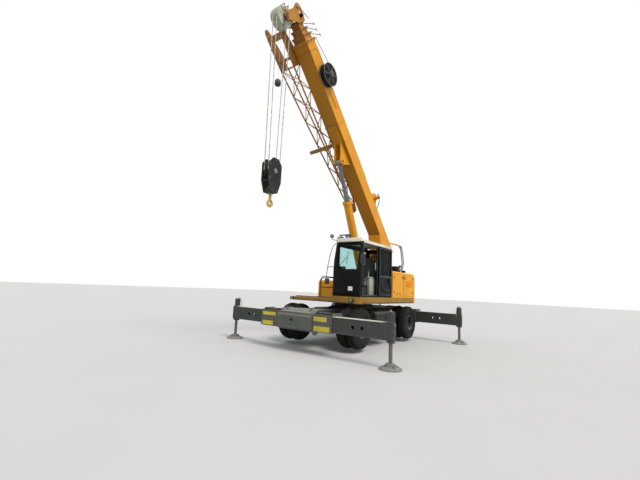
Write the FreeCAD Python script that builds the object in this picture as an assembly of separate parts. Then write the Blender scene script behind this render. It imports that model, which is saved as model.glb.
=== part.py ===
import FreeCAD, Part
import os
from math import sin, cos, radians, pi, hypot

os.makedirs("parts", exist_ok=True)
V = FreeCAD.Vector

# Driving dimensions, mm. +Z up, the crane's front faces -Y and its cab side is +X;
# the origin is on the ground under the slewing axis.
PAD_X = 2700.0                      # jack line of an extended outrigger
BEAM_Y = (2865.0, 2629.0)           # the two beams of a box, outer and inner
BEAM_T, BEAM_Z0, BEAM_Z1 = 190.0, 610.0, 1000.0
BEAM_IN, BEAM_OUT = 450.0, 2775.0
SLEEVE_GAP = 7.0
NOSE_OUT, NOSE_Z0, NOSE_Z1 = 56.0, 560.0, 1110.0   # middle of an outrigger box
BOX_X, BOX_Y0, BOX_Y1, BOX_Z0, BOX_Z1 = 1200.0, 2510.0, 2984.0, 587.0, 1023.0
JACK_R, JACK_Z0, JACK_Z1, ROD_R = 82.5, 560.0, 1210.0, 42.0
WHEEL_Y, WHEEL_Z, TYRE_R, TYRE_W, RIM_R = 1650.0, 632.0, 551.0, 240.0, 256.0
TWIN_X = (895.0, 1205.0)
KING_X, HUB_X = 640.0, 765.0
FRAME_X, FRAME_Z0, FRAME_TOP = 420.0, 800.0, 1080.0
DECK_Z0, DECK_Z1, SIDE_X = 1290.0, 1390.0, 1270.0
FLOOR_Z = 1480.0
CAB_X0, CAB_X1, CAB_Y0, CAB_Y1, CAB_TOP = 350.0, 1250.0, -1800.0, 250.0, 3050.0
WALL = 45.0
WAIST = 2150.0                      # lower edge of the side windows
HINGE_X, HINGE_Y, HINGE_Z = CAB_X1 + 31, -720.0, (1700.0, 2700.0)   # cab door hinges
ELEV = 45.1                         # boom angle in the photo
PIV_Y, PIV_Z = 1720.0, 2860.0       # boom foot pin
BELLY, DEPTH, HALF_W = 383.0, 450.0, 240.0
BASE_U0, BASE_U1 = -300.0, 7650.0
EYE_U, EYE_N = 4084.0, 4.0          # luffing rod's eye on the boom
LUFF_Y, LUFF_Z = 724.0, 1738.0      # luffing cylinder's foot pin
BARREL_R, LROD_R = 135.0, 68.0
HEAD_U, HEAD_N, SHEAVE_R = 8358.0, 30.0, 270.0
HOOK_TOP = 4840.0
SEAT = 0.3                          # clearance of what slides or turns on its seat


def box(x0, x1, y0, y1, z0, z1):
    return Part.makeBox(abs(x1 - x0), abs(y1 - y0), abs(z1 - z0),
                        V(min(x0, x1), min(y0, y1), min(z0, z1)))


def cyl(p, d, r, h):
    return Part.makeCylinder(r, h, V(*p), V(*d))


def prism(pts, axis, a0, a1):
    def at(q, a):
        return {"x": V(a, q[0], q[1]), "y": V(q[0], a, q[1]), "z": V(q[0], q[1], a)}[axis]
    f = Part.Face(Part.makePolygon([at(q, a0) for q in list(pts) + [pts[0]]]))
    return f.extrude(at((0, 0), a1) - at((0, 0), a0))


def fuse(shapes):
    s = shapes[0]
    for t in shapes[1:]:
        s = s.fuse(t)
    return s.removeSplitter()


def cut(s, tools):
    for t in tools:
        s = s.cut(t)
    return s


def mirror_x(s):
    return s.mirror(V(0, 0, 0), V(1, 0, 0))


def turn(s, deg):
    t = s.copy()
    t.rotate(V(0, 0, 0), V(0, 0, 1), deg)
    return t


def export(name, s):
    s.exportStep("parts/%s.step" % name)


def arc_pts(cx, cy, r, a0, a1, n):
    return [(cx + r * cos(radians(a0 + (a1 - a0) * i / n)),
             cy + r * sin(radians(a0 + (a1 - a0) * i / n))) for i in range(n + 1)]


# Chassis: welded frame, outrigger boxes, slewing ring, axles and shafts
LOCKER_X, LOCKER_Y = 1180.0, 640.0
frame = fuse([box(-FRAME_X, FRAME_X, -BOX_Y0, BOX_Y0, FRAME_Z0, FRAME_TOP),
              prism([(-1000, FRAME_Z0), (-900, 640), (900, 640), (1000, FRAME_Z0)], "x", -360, 360),
              prism([(-1080, FRAME_TOP - 4), (-700, 1140), (700, 1140), (1080, FRAME_TOP - 4)], "x",
                    -FRAME_X + 40, FRAME_X - 40),
              cyl((0, 0, FRAME_TOP - 5), (0, 0, 1), 640, 65)]
             + [prism([(FRAME_X - 5, 830), (FRAME_X - 5, 1060), (640, 1060), (640, 1030)], "y", y, y + 20)
                for y in (-560, -20, 540)]
             + [prism([(-FRAME_X + 5, 830), (-FRAME_X + 5, 1060), (-640, 1060), (-640, 1030)], "y", y, y + 20)
                for y in (-560, -20, 540)])
# pockets in the frame's top plate, and the bore under the slewing ring
frame = cut(frame, [box(-FRAME_X + 20, FRAME_X - 20, y0, y1, 790, FRAME_TOP - 20)
                    for y0, y1 in ((-2490, -1900), (-1400, -1100), (1100, 1400), (1900, 2490))]
            + [cyl((0, 0, 900), (0, 0, 1), 300, 400)]
            + [cyl((sx * 150, y, 1000), (0, 0, 1), 70, 200) for sx in (-1, 1) for y in (-2200, 2200)])
export("chassis_frame", frame)


def locker(sx):
    s = prism([(FRAME_X + SEAT, 1040), (LOCKER_X - 60, 1040), (LOCKER_X, 980), (LOCKER_X, 640), (LOCKER_X - 90, 560),
               (FRAME_X + SEAT, 560)], "y", -LOCKER_Y, LOCKER_Y)
    s = s.cut(prism([(FRAME_X + 190, 1034), (LOCKER_X - 63, 1034), (LOCKER_X - 6, 977), (LOCKER_X - 6, 643),
                     (LOCKER_X - 92, 566), (FRAME_X + 190, 566)], "y", -LOCKER_Y + 6, LOCKER_Y - 6))
    doors = [box(LOCKER_X, LOCKER_X + 12, y0, y0 + 590, 660, 960) for y0 in (-610, 20)]
    steps = [prism([(LOCKER_X - 60, 640), (LOCKER_X - 60, 430), (LOCKER_X + 10, 430), (LOCKER_X + 10, 446),
                    (LOCKER_X - 44, 446), (LOCKER_X - 44, 640)], "y", -520, 520)]
    s = fuse([s] + doors + steps)
    s = cut(s, [box(FRAME_X - 1, 645, y - 3, y + 23, 800, 1100) for y in (-560, -20, 540)])
    return mirror_x(s) if sx < 0 else s


export("side_lockers", Part.makeCompound([locker(1), locker(-1)]))


def outrigger_box():
    # wings with chamfered tops over the sleeves, and a sloped nose between them
    wing = [(-BOX_Y1, BOX_Z0), (-BOX_Y0, BOX_Z0), (-BOX_Y0, BOX_Z1), (-BOX_Y1, BOX_Z1)]
    nose = [(-BOX_Y0, NOSE_Z0), (-BOX_Y1 + 20, NOSE_Z0), (-BOX_Y1 - NOSE_OUT, NOSE_Z0 + 70),
            (-BOX_Y1 - NOSE_OUT, 930), (-BOX_Y1 - NOSE_OUT + 30, 965), (-BOX_Y1 + 230, NOSE_Z1), (-BOX_Y0, NOSE_Z1)]
    s = fuse([prism(wing, "x", -BOX_X, BOX_X), prism(nose, "x", -560, 600)]
             + [prism([(-BOX_Y1 - 14, BOX_Z0 + 20), (-BOX_Y0, BOX_Z0 + 20), (-BOX_Y0, BOX_Z1 + 46),
                       (-BOX_Y1 + 110, BOX_Z1 + 46), (-BOX_Y1 - 14, BOX_Z1 - 60)], "x", x0, x1)
                for x0, x1 in ((-BOX_X, -BOX_X + 30), (-790, -760), (770, 800), (BOX_X - 30, BOX_X))]
             + [prism([(600, NOSE_Z0 + 30), (640, 500), (720, 500), (800, BOX_Z0 + 4)], "y", -BOX_Y1, -BOX_Y1 + 30),
                box(-150, 150, -BOX_Y1 - NOSE_OUT - 40, -BOX_Y1 - NOSE_OUT + 5, 610, 650)])
    s = s.cut(cyl((-60, -BOX_Y1 - NOSE_OUT - 1, 820), (0, 1, 0), 45, 60))
    s = s.cut(cyl((0, -BOX_Y1 - NOSE_OUT - 20, 600), (0, 0, 1), 14, 60))
    h = BEAM_T / 2 + SLEEVE_GAP
    for y, sx in zip(BEAM_Y, (1, -1)):
        x0, x1 = (-BOX_X + 30, BOX_X + 1) if sx > 0 else (-BOX_X - 1, BOX_X - 30)
        s = s.cut(box(x0, x1, -y - h, -y + h, BEAM_Z0 - SLEEVE_GAP, BEAM_Z1 + SLEEVE_GAP))
        for z0, z1 in ((BEAM_Z0 - SLEEVE_GAP, BEAM_Z0 - SEAT), (BEAM_Z1 + SEAT, BEAM_Z1 + SLEEVE_GAP)):
            s = s.fuse(box(sx * (BOX_X - 120), sx * BOX_X, -y - h, -y + h, z0, z1))
    return s


export("front_outrigger_box", outrigger_box())
export("rear_outrigger_box", turn(outrigger_box(), 180))


def beam(sx, y):
    s = box(BEAM_IN, BEAM_OUT, y - BEAM_T / 2, y + BEAM_T / 2, BEAM_Z0, BEAM_Z1)
    s = s.cut(box(BEAM_IN - 1, PAD_X - 130, y - BEAM_T / 2 + 14, y + BEAM_T / 2 - 14,
                  BEAM_Z0 + 14, BEAM_Z1 - 14))
    s = cut(s, [cyl((x, y - 200, 805), (0, 1, 0), 50, 400) for x in (1780, 2030)])
    s = fuse([s, cyl((PAD_X, y, JACK_Z0), (0, 0, 1), JACK_R, JACK_Z1 - JACK_Z0),
              cyl((PAD_X, y, JACK_Z1 - 40), (0, 0, 1), JACK_R - 14, 58),
              cyl((PAD_X, y, JACK_Z0), (0, 0, 1), JACK_R + 8, 40)])
    s = cut(s, [cyl((PAD_X, y, JACK_Z0 - 1), (0, 0, 1), ROD_R + SEAT, 80),
                cyl((PAD_X, y, JACK_Z0 + 60), (0, 0, 1), ROD_R + 6, JACK_Z1 - JACK_Z0 - 90)])
    return mirror_x(s) if sx < 0 else s


def leg(sx, y):
    x = PAD_X
    prof = [(0, 0), (235, 0), (250, 12), (250, 24), (120, 62), (100, 66), (100, 128), (70, 128), (0, 128)]
    f = Part.Face(Part.makePolygon([V(x + r, y, z) for r, z in prof + [prof[0]]]))
    s = fuse([f.revolve(V(x, y, 0), V(0, 0, 1), 360), cyl((x, y, 60), (0, 0, 1), ROD_R, 660)])
    return mirror_x(s) if sx < 0 else s


CORNERS = (("front_left", 1, -BEAM_Y[0]), ("front_right", -1, -BEAM_Y[1]),
           ("rear_left", 1, BEAM_Y[1]), ("rear_right", -1, BEAM_Y[0]))
for tag, sx, y in CORNERS:
    export("beam_" + tag, beam(sx, y))
    export("jack_leg_" + tag, leg(sx, y))

export("slew_ring", cyl((0, 0, 1140), (0, 0, 1), 620, 150).cut(cyl((0, 0, 1100), (0, 0, 1), 480, 300)))


SHAFT_Z, NOSE_Y = 560.0, 177.0       # shaft's height, and its end from the axle's middle


def axle(y, x_end):
    # tube, round gear casing with tapered sides, nose to the shaft, and saddles under the frame
    k = 1 if y < 0 else -1
    return fuse([cyl((-x_end, y, WHEEL_Z), (1, 0, 0), 95, 2 * x_end),
                 cyl((0, y - 115, WHEEL_Z), (0, 1, 0), 160, 230),
                 cyl((0, y + k * 100, SHAFT_Z), (0, k, 0), 75, NOSE_Y - 100 - SEAT)]
                + [Part.makeCone(112, 96, 170, V(sx * 110, y, WHEEL_Z), V(sx, 0, 0)) for sx in (-1, 1)]
                + [box(sx * 215, sx * 335, y - 110, y + 110, WHEEL_Z, FRAME_Z0) for sx in (-1, 1)])


export("rear_axle", axle(WHEEL_Y, HUB_X - SEAT))
front = axle(-WHEEL_Y, 560)
for sx in (-1, 1):
    front = fuse([front] + [box(sx * 520, sx * 700, -WHEEL_Y - 60, -WHEEL_Y + 60, z0, z1)
                            for z0, z1 in ((WHEEL_Z - 150, WHEEL_Z - 100), (WHEEL_Z + 100, WHEEL_Z + 150))]
                 + [box(sx * 520, sx * 560, -WHEEL_Y - 60, -WHEEL_Y + 60, WHEEL_Z - 150, WHEEL_Z + 150)])
export("front_axle", front)
for tag, sx in (("left", 1), ("right", -1)):
    k = fuse([cyl((sx * KING_X, -WHEEL_Y, WHEEL_Z - 100 + SEAT), (0, 0, 1), 55, 200 - 2 * SEAT),
              cyl((sx * KING_X, -WHEEL_Y, WHEEL_Z), (sx, 0, 0), 60, 60),
              cyl((sx * 700, -WHEEL_Y, WHEEL_Z), (sx, 0, 0), 90, HUB_X - 700 - SEAT),
              box(sx * 620, sx * 660, -WHEEL_Y, -WHEEL_Y + 230, WHEEL_Z - 60, WHEEL_Z - 20)])
    export("steering_knuckle_" + tag, k)
export("driveline", fuse([box(-200, 160, -350, 350, 430, 640),
                          cyl((0, -WHEEL_Y + NOSE_Y, SHAFT_Z), (0, 1, 0), 45, WHEEL_Y - NOSE_Y - 350),
                          cyl((0, 350, SHAFT_Z), (0, 1, 0), 45, WHEEL_Y - NOSE_Y - 350)]))

# Wheels: two tyres on one rim a side
# Tyre section: share of the width from its middle, share of the height from rim to tread
TYRE_HALF = ((0.36, 0.0), (0.383, 0.07), (0.49, 0.25), (0.5, 0.62), (0.45, 0.9), (0.325, 1.0))
TYRE_SIDES = 30


def tyre(xc, y):
    """Tyre of flat faces, its bore's flats just clear of the rim."""
    flats = (RIM_R + SEAT) / cos(pi / TYRE_SIDES)
    half = [(f * TYRE_W, flats + g * (TYRE_R - flats)) for f, g in TYRE_HALF]
    prof = [(-f, r) for f, r in half] + [(f, r) for f, r in reversed(half)]

    def at(k, i):
        dx, r = prof[k % len(prof)]
        a = 2 * pi * (i + 0.5) / TYRE_SIDES
        return V(xc + dx, y + r * cos(a), WHEEL_Z + r * sin(a))
    faces = [Part.Face(Part.makePolygon([at(k, i), at(k + 1, i), at(k + 1, i + 1), at(k, i + 1), at(k, i)]))
             for k in range(len(prof)) for i in range(TYRE_SIDES)]
    s = Part.Solid(Part.Shell(faces))
    return s if s.Volume > 0 else s.reversed()


def rim(y):
    x0, x1 = TWIN_X[0] - 110, TWIN_X[1] + 110
    s = cyl((x0, y, WHEEL_Z), (1, 0, 0), RIM_R, x1 - x0).cut(
        cyl((x0 - 1, y, WHEEL_Z), (1, 0, 0), RIM_R - 18, x1 - x0 + 2))
    s = fuse([s, cyl((1030, y, WHEEL_Z), (1, 0, 0), RIM_R - 10, 24),
              cyl((HUB_X, y, WHEEL_Z), (1, 0, 0), 120, 275), cyl((1050, y, WHEEL_Z), (1, 0, 0), 95, 110)])
    return cut(s, [cyl((1000, y + 175 * cos(2 * pi * i / 8), WHEEL_Z + 175 * sin(2 * pi * i / 8)), (1, 0, 0), 32, 80)
                   for i in range(8)])


for end, y in (("front", -WHEEL_Y), ("rear", WHEEL_Y)):
    for side, sx in (("left", 1), ("right", -1)):
        pair = Part.makeCompound([mirror_x(tyre(xc, y)) if sx < 0 else tyre(xc, y) for xc in TWIN_X])
        export("twin_tyres_%s_%s" % (end, side), pair)
        r = rim(y)
        export("rim_%s_%s" % (end, side), mirror_x(r) if sx < 0 else r)

# Superstructure: platform, housings, counterweight and boom support
outline = (arc_pts(SIDE_X - 160, -1640, 160, -90, 0, 6) + [(SIDE_X, 2100), (-SIDE_X, 2100)]
           + arc_pts(-SIDE_X + 160, -1640, 160, 180, 270, 6))
deck = fuse([prism(outline, "z", DECK_Z0, DECK_Z1),
             prism([(340, -1800)] + arc_pts(SIDE_X - 160, -1640, 160, -90, 0, 6) + [(SIDE_X, 2100), (340, 2100)],
                   "z", DECK_Z1, FLOOR_Z)]
            + [prism([(LUFF_Y - 330, DECK_Z1), (LUFF_Y - 110, LUFF_Z + 60), (LUFF_Y - 60, LUFF_Z + 120),
                      (LUFF_Y + 60, LUFF_Z + 120), (LUFF_Y + 110, LUFF_Z + 60), (LUFF_Y + 330, DECK_Z1)],
                     "x", sx * 125, sx * 165) for sx in (-1, 1)]
            + [cyl((-170, LUFF_Y, LUFF_Z), (1, 0, 0), 50, 340)]
            + [prism([(LUFF_Y - 240, DECK_Z1), (LUFF_Y, LUFF_Z - 130), (LUFF_Y + 240, DECK_Z1)], "x",
                     sx * 165, sx * 290) for sx in (-1, 1)]
            + [box(-SIDE_X + 40, -390, -1500, -1480, DECK_Z1, DECK_Z1 + 30),
               prism([(SIDE_X - 4, 1300), (SIDE_X + 70, 1300), (SIDE_X + 70, 1316), (SIDE_X - 4, 1316)], "y", -1560, -860)])
deck = deck.cut(cyl((0, 0, 1200), (0, 0, 1), 300, 80 + DECK_Z1 - DECK_Z0))
export("slewing_platform", deck)
export("slew_motor", fuse([cyl((0, -760, DECK_Z1), (0, 0, 1), 150, 60), cyl((0, -760, DECK_Z1 + 60), (0, 0, 1), 105, 230),
                           cyl((0, -760, DECK_Z1 + 290), (0, 0, 1), 70, 120)]))

hood = box(360, SIDE_X, 300, 2100, FLOOR_Z, 2340)
hood = hood.makeFillet(90, [e for e in hood.Edges if abs(e.CenterOfMass.z - 2340) < 1 and e.CenterOfMass.y < 2090])
hood = hood.cut(box(385, SIDE_X - 25, 325, 2101, FLOOR_Z - 1, 2300))
export("engine_hood", hood)
tank = box(-SIDE_X, -360, -270, 2100, DECK_Z1, 1960)
tank = tank.makeFillet(60, [e for e in tank.Edges if abs(e.CenterOfMass.z - 1960) < 1 and e.CenterOfMass.y < 2090])
tank = tank.cut(box(-SIDE_X + 25, -385, -245, 2101, DECK_Z1 - 1, 1930))
export("tank_housing", tank)
export("engine_block", box(480, 1120, 600, 1900, FLOOR_Z, 2150))
export("exhaust_stack", Part.makeCompound(
    [fuse([cyl((x, y, 2340), (0, 0, 1), r, 60), cyl((x, y, 2395), (0, 0, 1), r2, h)])
     for x, y, r, r2, h in ((820, 1780, 62, 45, 75), (560, 1960, 85, 105, 40))]))

cw_out = ([(SIDE_X, 2100)] + arc_pts(SIDE_X - 450, 2100, 450, 0, 90, 8)
          + arc_pts(-SIDE_X + 450, 2100, 450, 90, 180, 8))
cw = prism(cw_out, "z", DECK_Z0, 2250)
cw = cw.makeFillet(70, [e for e in cw.Edges if abs(e.CenterOfMass.z - 2250) < 1 and e.CenterOfMass.y > 2101])
cw = cw.cut(box(-345, 345, 2099, 2330, 2000, 2260))
export("counterweight", cw)

support = []
for sx in (-1, 1):
    support += [prism([(PIV_Y - 470, DECK_Z1), (PIV_Y + 340, DECK_Z1), (PIV_Y + 300, PIV_Z - 560),
                       (PIV_Y + 140, PIV_Z + 100), (PIV_Y, PIV_Z + 150), (PIV_Y - 130, PIV_Z + 100),
                       (PIV_Y - 340, PIV_Z - 560)], "x", sx * (HALF_W + 52), sx * (HALF_W + 87))]
support += [box(-HALF_W - 60, HALF_W + 60, PIV_Y - 220, PIV_Y + 140, DECK_Z1, 1700),
            box(-HALF_W - 60, HALF_W + 60, PIV_Y - 160, PIV_Y - 120, 1700, PIV_Z - 610),
            cyl((-HALF_W - 105, PIV_Y, PIV_Z), (1, 0, 0), 60, 2 * HALF_W + 210)]
export("boom_support", fuse(support))

# Cab: shell with its windows cut, roof, glass, seat and the door that stands open
CHAM = 60.0                         # cut of the cab's upright corners
SCREEN_Z0, SCREEN_Z1 = WAIST + 85, CAB_TOP - 100
prof = ([(CAB_Y0 + 25, FLOOR_Z), (CAB_Y1, FLOOR_Z)] + arc_pts(CAB_Y1 - 110, CAB_TOP - 110, 110, 0, 90, 4)
        + arc_pts(CAB_Y0 + 250, CAB_TOP - 90, 90, 90, 168, 3) + [(CAB_Y0 + 10, SCREEN_Z0 + 5), (CAB_Y0, WAIST - 10), (CAB_Y0, FLOOR_Z + 100)])
inner = [(CAB_Y0 + WALL + 10, FLOOR_Z + 40), (CAB_Y1 - WALL, FLOOR_Z + 40), (CAB_Y1 - WALL, CAB_TOP + 1),
         (CAB_Y0 + 175 + WALL, CAB_TOP + 1), (CAB_Y0 + 145 + WALL, CAB_TOP - 110), (CAB_Y0 + 12 + WALL, SCREEN_Z0 + 5)]
plan = [(CAB_X0, CAB_Y1), (CAB_X1, CAB_Y1), (CAB_X1, CAB_Y0 + CHAM), (CAB_X1 - 18, CAB_Y0 + 18),
        (CAB_X1 - CHAM, CAB_Y0), (CAB_X0 + CHAM, CAB_Y0), (CAB_X0 + 18, CAB_Y0 + 18), (CAB_X0, CAB_Y0 + CHAM)]
cab = prism(prof, "x", CAB_X0, CAB_X1).common(prism(plan, "z", FLOOR_Z - 10, CAB_TOP + 10))
cab = cab.cut(prism(inner, "x", CAB_X0 + WALL, CAB_X1 - WALL))
DOOR_Y = (-1600.0, -745.0)
SILL, HEADER = FLOOR_Z + 65, CAB_TOP - 85
PANES = ((CAB_X1, -600, 150, WAIST, CAB_TOP - 120), (CAB_X0, -1500, 150, WAIST, CAB_TOP - 120))
cab = cut(cab, [box(x - 80, x + 80, y0, y1, z0, z1) for x, y0, y1, z0, z1 in PANES]
          + [box(CAB_X1 - 80, CAB_X1 + 20, DOOR_Y[0], DOOR_Y[1], SILL, HEADER),
             box(CAB_X0 + 100, CAB_X1 - 100, CAB_Y1 - 80, CAB_Y1 + 20, WAIST + 100, CAB_TOP - 150),
             box(CAB_X0 + 75, CAB_X1 - 75, CAB_Y0 - 20, CAB_Y0 + 240, SCREEN_Z0, SCREEN_Z1)])
cab = fuse([cab] + [cyl((HINGE_X, HINGE_Y, z - 60), (0, 0, 1), 19, 60 - SEAT) for z in HINGE_Z]
           + [box(CAB_X1 - 5, HINGE_X, HINGE_Y - 15, HINGE_Y + 15, z - 60, z - SEAT) for z in HINGE_Z]
           + [box(CAB_X0 + 60, CAB_X1 - 60, CAB_Y0 + WALL + 10, CAB_Y0 + 190, FLOOR_Z + 40, WAIST - 30)])
export("cab_shell", cab)
roof = prism([(CAB_Y0 + 150, CAB_TOP), (CAB_Y1 - 40, CAB_TOP), (CAB_Y1 - 60, CAB_TOP + 32), (CAB_Y1 - 110, CAB_TOP + 50),
              (CAB_Y0 + 260, CAB_TOP + 50), (CAB_Y0 + 190, CAB_TOP + 32)], "x", CAB_X0 + 8, CAB_X1 - 8)
roof = fuse([roof, box(CAB_X0 + 200, CAB_X1 - 200, -1150, -560, CAB_TOP + 40, CAB_TOP + 66)])
export("cab_roof", roof)
export("windscreen", prism([(CAB_Y0 + 18, SCREEN_Z0), (CAB_Y0 + 26, SCREEN_Z0), (CAB_Y0 + 166, SCREEN_Z1), (CAB_Y0 + 158, SCREEN_Z1)],
                           "x", CAB_X0 + 75, CAB_X1 - 75))
panes = [box(x - 20 * k, x - 26 * k, y0, y1, z0, z1) for (x, y0, y1, z0, z1), k in zip(PANES, (1, -1))]
export("cab_windows", Part.makeCompound(panes + [box(CAB_X0 + 100, CAB_X1 - 100, CAB_Y1 - 20, CAB_Y1 - 26, WAIST + 100, CAB_TOP - 150)]))
seat = [prism([(-960, 1800), (-980, 1870), (-940, 1910), (-560, 1885), (-500, 1800)], "x", 590, 1010),
        prism([(-560, 1885), (-500, 1800), (-440, 1800), (-385, 2500), (-470, 2520), (-510, 2380)], "x", 600, 1000),
        prism([(-470, 2510), (-400, 2500), (-395, 2680), (-450, 2700)], "x", 680, 920),
        prism([(-900, 1520), (-500, 1520), (-560, 1800), (-860, 1800)], "x", 640, 960)]
seat += [prism([(-960, 1520), (-620, 1520), (-560, 2040), (-1000, 2090), (-1010, 2050), (-900, 1990)], "x", x, x + 110)
         for x in (470, 1020)]
export("operator_seat", fuse(seat + [box(500, 1100, -800, -640, 1640, 1760)]
                             + [cyl((x, -960, 2070), (0, 0, 1), 12, 170) for x in (525, 1075)]))
DOOR_X0, DOOR_X1, LEAF_Y0, LEAF_Y1 = CAB_X1 + 12, CAB_X1 + 50, -700.0, 160.0   # open leaf beside the cab
lz0, lz1 = SILL - 15, CAB_TOP - 65
door = prism([(LEAF_Y0, lz0), (LEAF_Y1, lz0), (LEAF_Y1, lz1 - 45), (LEAF_Y1 - 40, lz1), (LEAF_Y0 + 40, lz1),
              (LEAF_Y0, lz1 - 45)], "x", DOOR_X0, DOOR_X1)
door = cut(door, [box(DOOR_X0 - 10, DOOR_X1 + 10, LEAF_Y0 + 60, LEAF_Y1 - 60, z0, z1)
                  for z0, z1 in ((WAIST, lz1 - 65), (lz0 + 90, WAIST - 90))])
door = fuse([door, box(DOOR_X0 + 10, DOOR_X1 - 10, LEAF_Y0 + 50, LEAF_Y1 - 50, lz0 + 80, WAIST - 80),
             box(DOOR_X1, DOOR_X1 + 16, 20, 60, 1900, 2080)]
            + [cyl((HINGE_X, HINGE_Y, z), (0, 0, 1), 19, 120) for z in HINGE_Z]
            + [box(DOOR_X0 + 3, DOOR_X1 - 3, HINGE_Y, HINGE_Y + 30, z, z + 120) for z in HINGE_Z])
export("cab_door", door)
export("door_glass", box(DOOR_X0 + 15, DOOR_X0 + 23, LEAF_Y0 + 60, LEAF_Y1 - 60, WAIST, lz1 - 65))
lamps = [fuse([prism([(-1625, z0), (-1535, z0), (-1535, z0 + 95), (-1600, z0 + 105), (-1625, z0 + 95)], "x", x, x + 150),
               box(x + 60, x + 90, -1570, -1540, CAB_TOP + 50 + SEAT, z0)])
         for x, z0 in ((370, CAB_TOP + 62), (640, CAB_TOP + 90))]
lamps += [fuse([prism([(-1836, z - 45), (-1800, z - 45), (-1800, z + 45), (-1836, z + 35)], "x", x - 65, x + 65),
                cyl((x, -1835, z - 2), (0, -1, 0), 36, 8)])
         for x, z in ((1020, 1385), (-1130, 1340))]
export("lamps", Part.makeCompound(lamps))


# Boom parts are drawn level: local y is -u (along the boom), local z is n; then raised about the foot pin
def raised(s, elev=ELEV):
    t = s.copy()
    t.rotate(V(0, 0, 0), V(1, 0, 0), -elev)
    t.translate(V(0, PIV_Y, PIV_Z))
    return t


def boom_point(u, n):
    """Where a point of the raised boom is: y, z."""
    e = radians(ELEV)
    return PIV_Y - u * cos(e) + n * sin(e), PIV_Z + u * sin(e) + n * cos(e)


def section(u0, u1, hw, n0, n1, t):
    return box(-hw, hw, -u0, -u1, n0, n1).cut(box(-hw + t, hw - t, -u0 + 1, -u1 - 1, n0 + t, n1 - t))


MID = BELLY + DEPTH / 2
COLLARS = tuple((EYE_U + d, EYE_U + d + 40) for d in (476, 1046))   # bands beyond the luffing eye
STEP = 36.0
TUBE_T = 12.0
REAR_PAD = STEP - TUBE_T - SEAT     # wear pads at each inner section's rear end
base = section(BASE_U0, BASE_U1, HALF_W, BELLY, BELLY + DEPTH, TUBE_T)
collar = section(BASE_U1 - 90, BASE_U1, HALF_W + 22, BELLY - 22, BELLY + DEPTH + 22, 22 + STEP - SEAT)
foot = [prism([(300, BELLY + 5), (300, BELLY - 60), (150, -80), (60, -125), (-60, -125), (-170, -60),
                (-900, BELLY - 10), (-900, BELLY + 5)], "x", sx * 200, sx * 240) for sx in (-1, 1)]
foot += [cyl((-280, 0, 0), (1, 0, 0), 110, 560), box(-200, 200, 262, 282, 60, BELLY + 5),
         prism([(-160, -30), (-180, -50), (-880, BELLY - 20), (-860, BELLY + 2)], "x", -200, 200)]
eye_br = [prism([(-EYE_U + 330, BELLY + 3), (-EYE_U + 120, EYE_N + 20), (-EYE_U + 90, EYE_N - 80),
                 (-EYE_U, EYE_N - 118), (-EYE_U - 90, EYE_N - 80), (-EYE_U - 220, EYE_N + 60),
                 (-COLLARS[0][1], BELLY - 60), (-COLLARS[0][1], BELLY + 3)], "x",
                sx * 100, sx * 136) for sx in (-1, 1)]
eye_br += [cyl((sx * 136, -EYE_U, EYE_N), (sx, 0, 0), 85, 22) for sx in (-1, 1)]
eye_br += [prism([(-COLLARS[0][1] + 40, BELLY - 75), (-COLLARS[0][1] + 40, BELLY + 3), (-COLLARS[1][0] - 20, BELLY + 3),
                  (-COLLARS[1][0] - 20, BELLY - 60)], "x", -150, 150)]
bands = [section(u0, u1, HALF_W + 20, BELLY - 20, BELLY + DEPTH + 8, 20) for u0, u1 in COLLARS]
bands += [section(u, u + 16, HALF_W + 14, BELLY - 14, BELLY + DEPTH + 14, 14) for u in (BASE_U0 + 20, 7350)]
rails = [box(sx * (HALF_W - 24), sx * HALF_W, -3000, -7300, BELLY + DEPTH, BELLY + DEPTH + 28) for sx in (-1, 1)]
tail = [box(-HALF_W + 5, HALF_W - 5, -BASE_U0, -BASE_U0 - 16, BELLY + 5, BELLY + DEPTH - 5)]
base = fuse([base, collar] + bands + rails + tail + foot + eye_br)
base = base.cut(cyl((-400, 0, 0), (1, 0, 0), 60 + SEAT, 800))
base = base.cut(cyl((-400, -EYE_U, EYE_N), (1, 0, 0), 40, 800))
export("boom_base", raised(base))
for i, (u0, u1) in enumerate(((-240, 7810), (-180, 7970))):
    hw = HALF_W - (i + 1) * STEP
    n0, n1 = BELLY + (i + 1) * STEP, BELLY + DEPTH - (i + 1) * STEP
    export("boom_section_%d" % (i + 2), raised(fuse(
        [section(u0, u1, hw, n0, n1, 10),
         section(u0, u0 + 80, hw + REAR_PAD, n0 - REAR_PAD, n1 + REAR_PAD, REAR_PAD + 5),
         section(u1 - 60, u1, hw + 16, n0 - 16, n1 + 16, 16 + STEP - SEAT)])))
hw, n0, n1 = HALF_W - 3 * STEP, BELLY + 3 * STEP, BELLY + DEPTH - 3 * STEP
HEAD_X = 178.0                      # inner face of the head's cheek plates
tip = [section(-120, 8150, hw, n0, n1, 10), section(-120, -40, hw + REAR_PAD, n0 - REAR_PAD, n1 + REAR_PAD, REAR_PAD + 5),
       section(8070, 8130, hw + 16, n0 - 16, n1 + 16, 16),
       box(-HEAD_X, HEAD_X, -8150, -8164, n0 - 30, n1 + 60)]
for sx in (-1, 1):
    cheek = prism([(-8100, n1 + 60), (-8430, n1 + 95), (-8560, n1 + 20), (-8570, n1 - 90), (-8470, n0 - 60),
                   (-8470, HEAD_N - 40), (-HEAD_U, HEAD_N - 100), (-HEAD_U + 90, HEAD_N - 60), (-8130, n0 - 120),
                   (-8100, n0 - 60)], "x", sx * HEAD_X, sx * (HEAD_X + 20))
    tip += [cheek.cut(cyl((-300, -8330, MID + 60), (1, 0, 0), 42, 600))]
    tip += [cyl((sx * (HEAD_X + 20), -HEAD_U, HEAD_N), (sx, 0, 0), 62, 14),
            cyl((sx * (HEAD_X + 20), -8470, MID + 20), (sx, 0, 0), 45, 12)]
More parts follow.
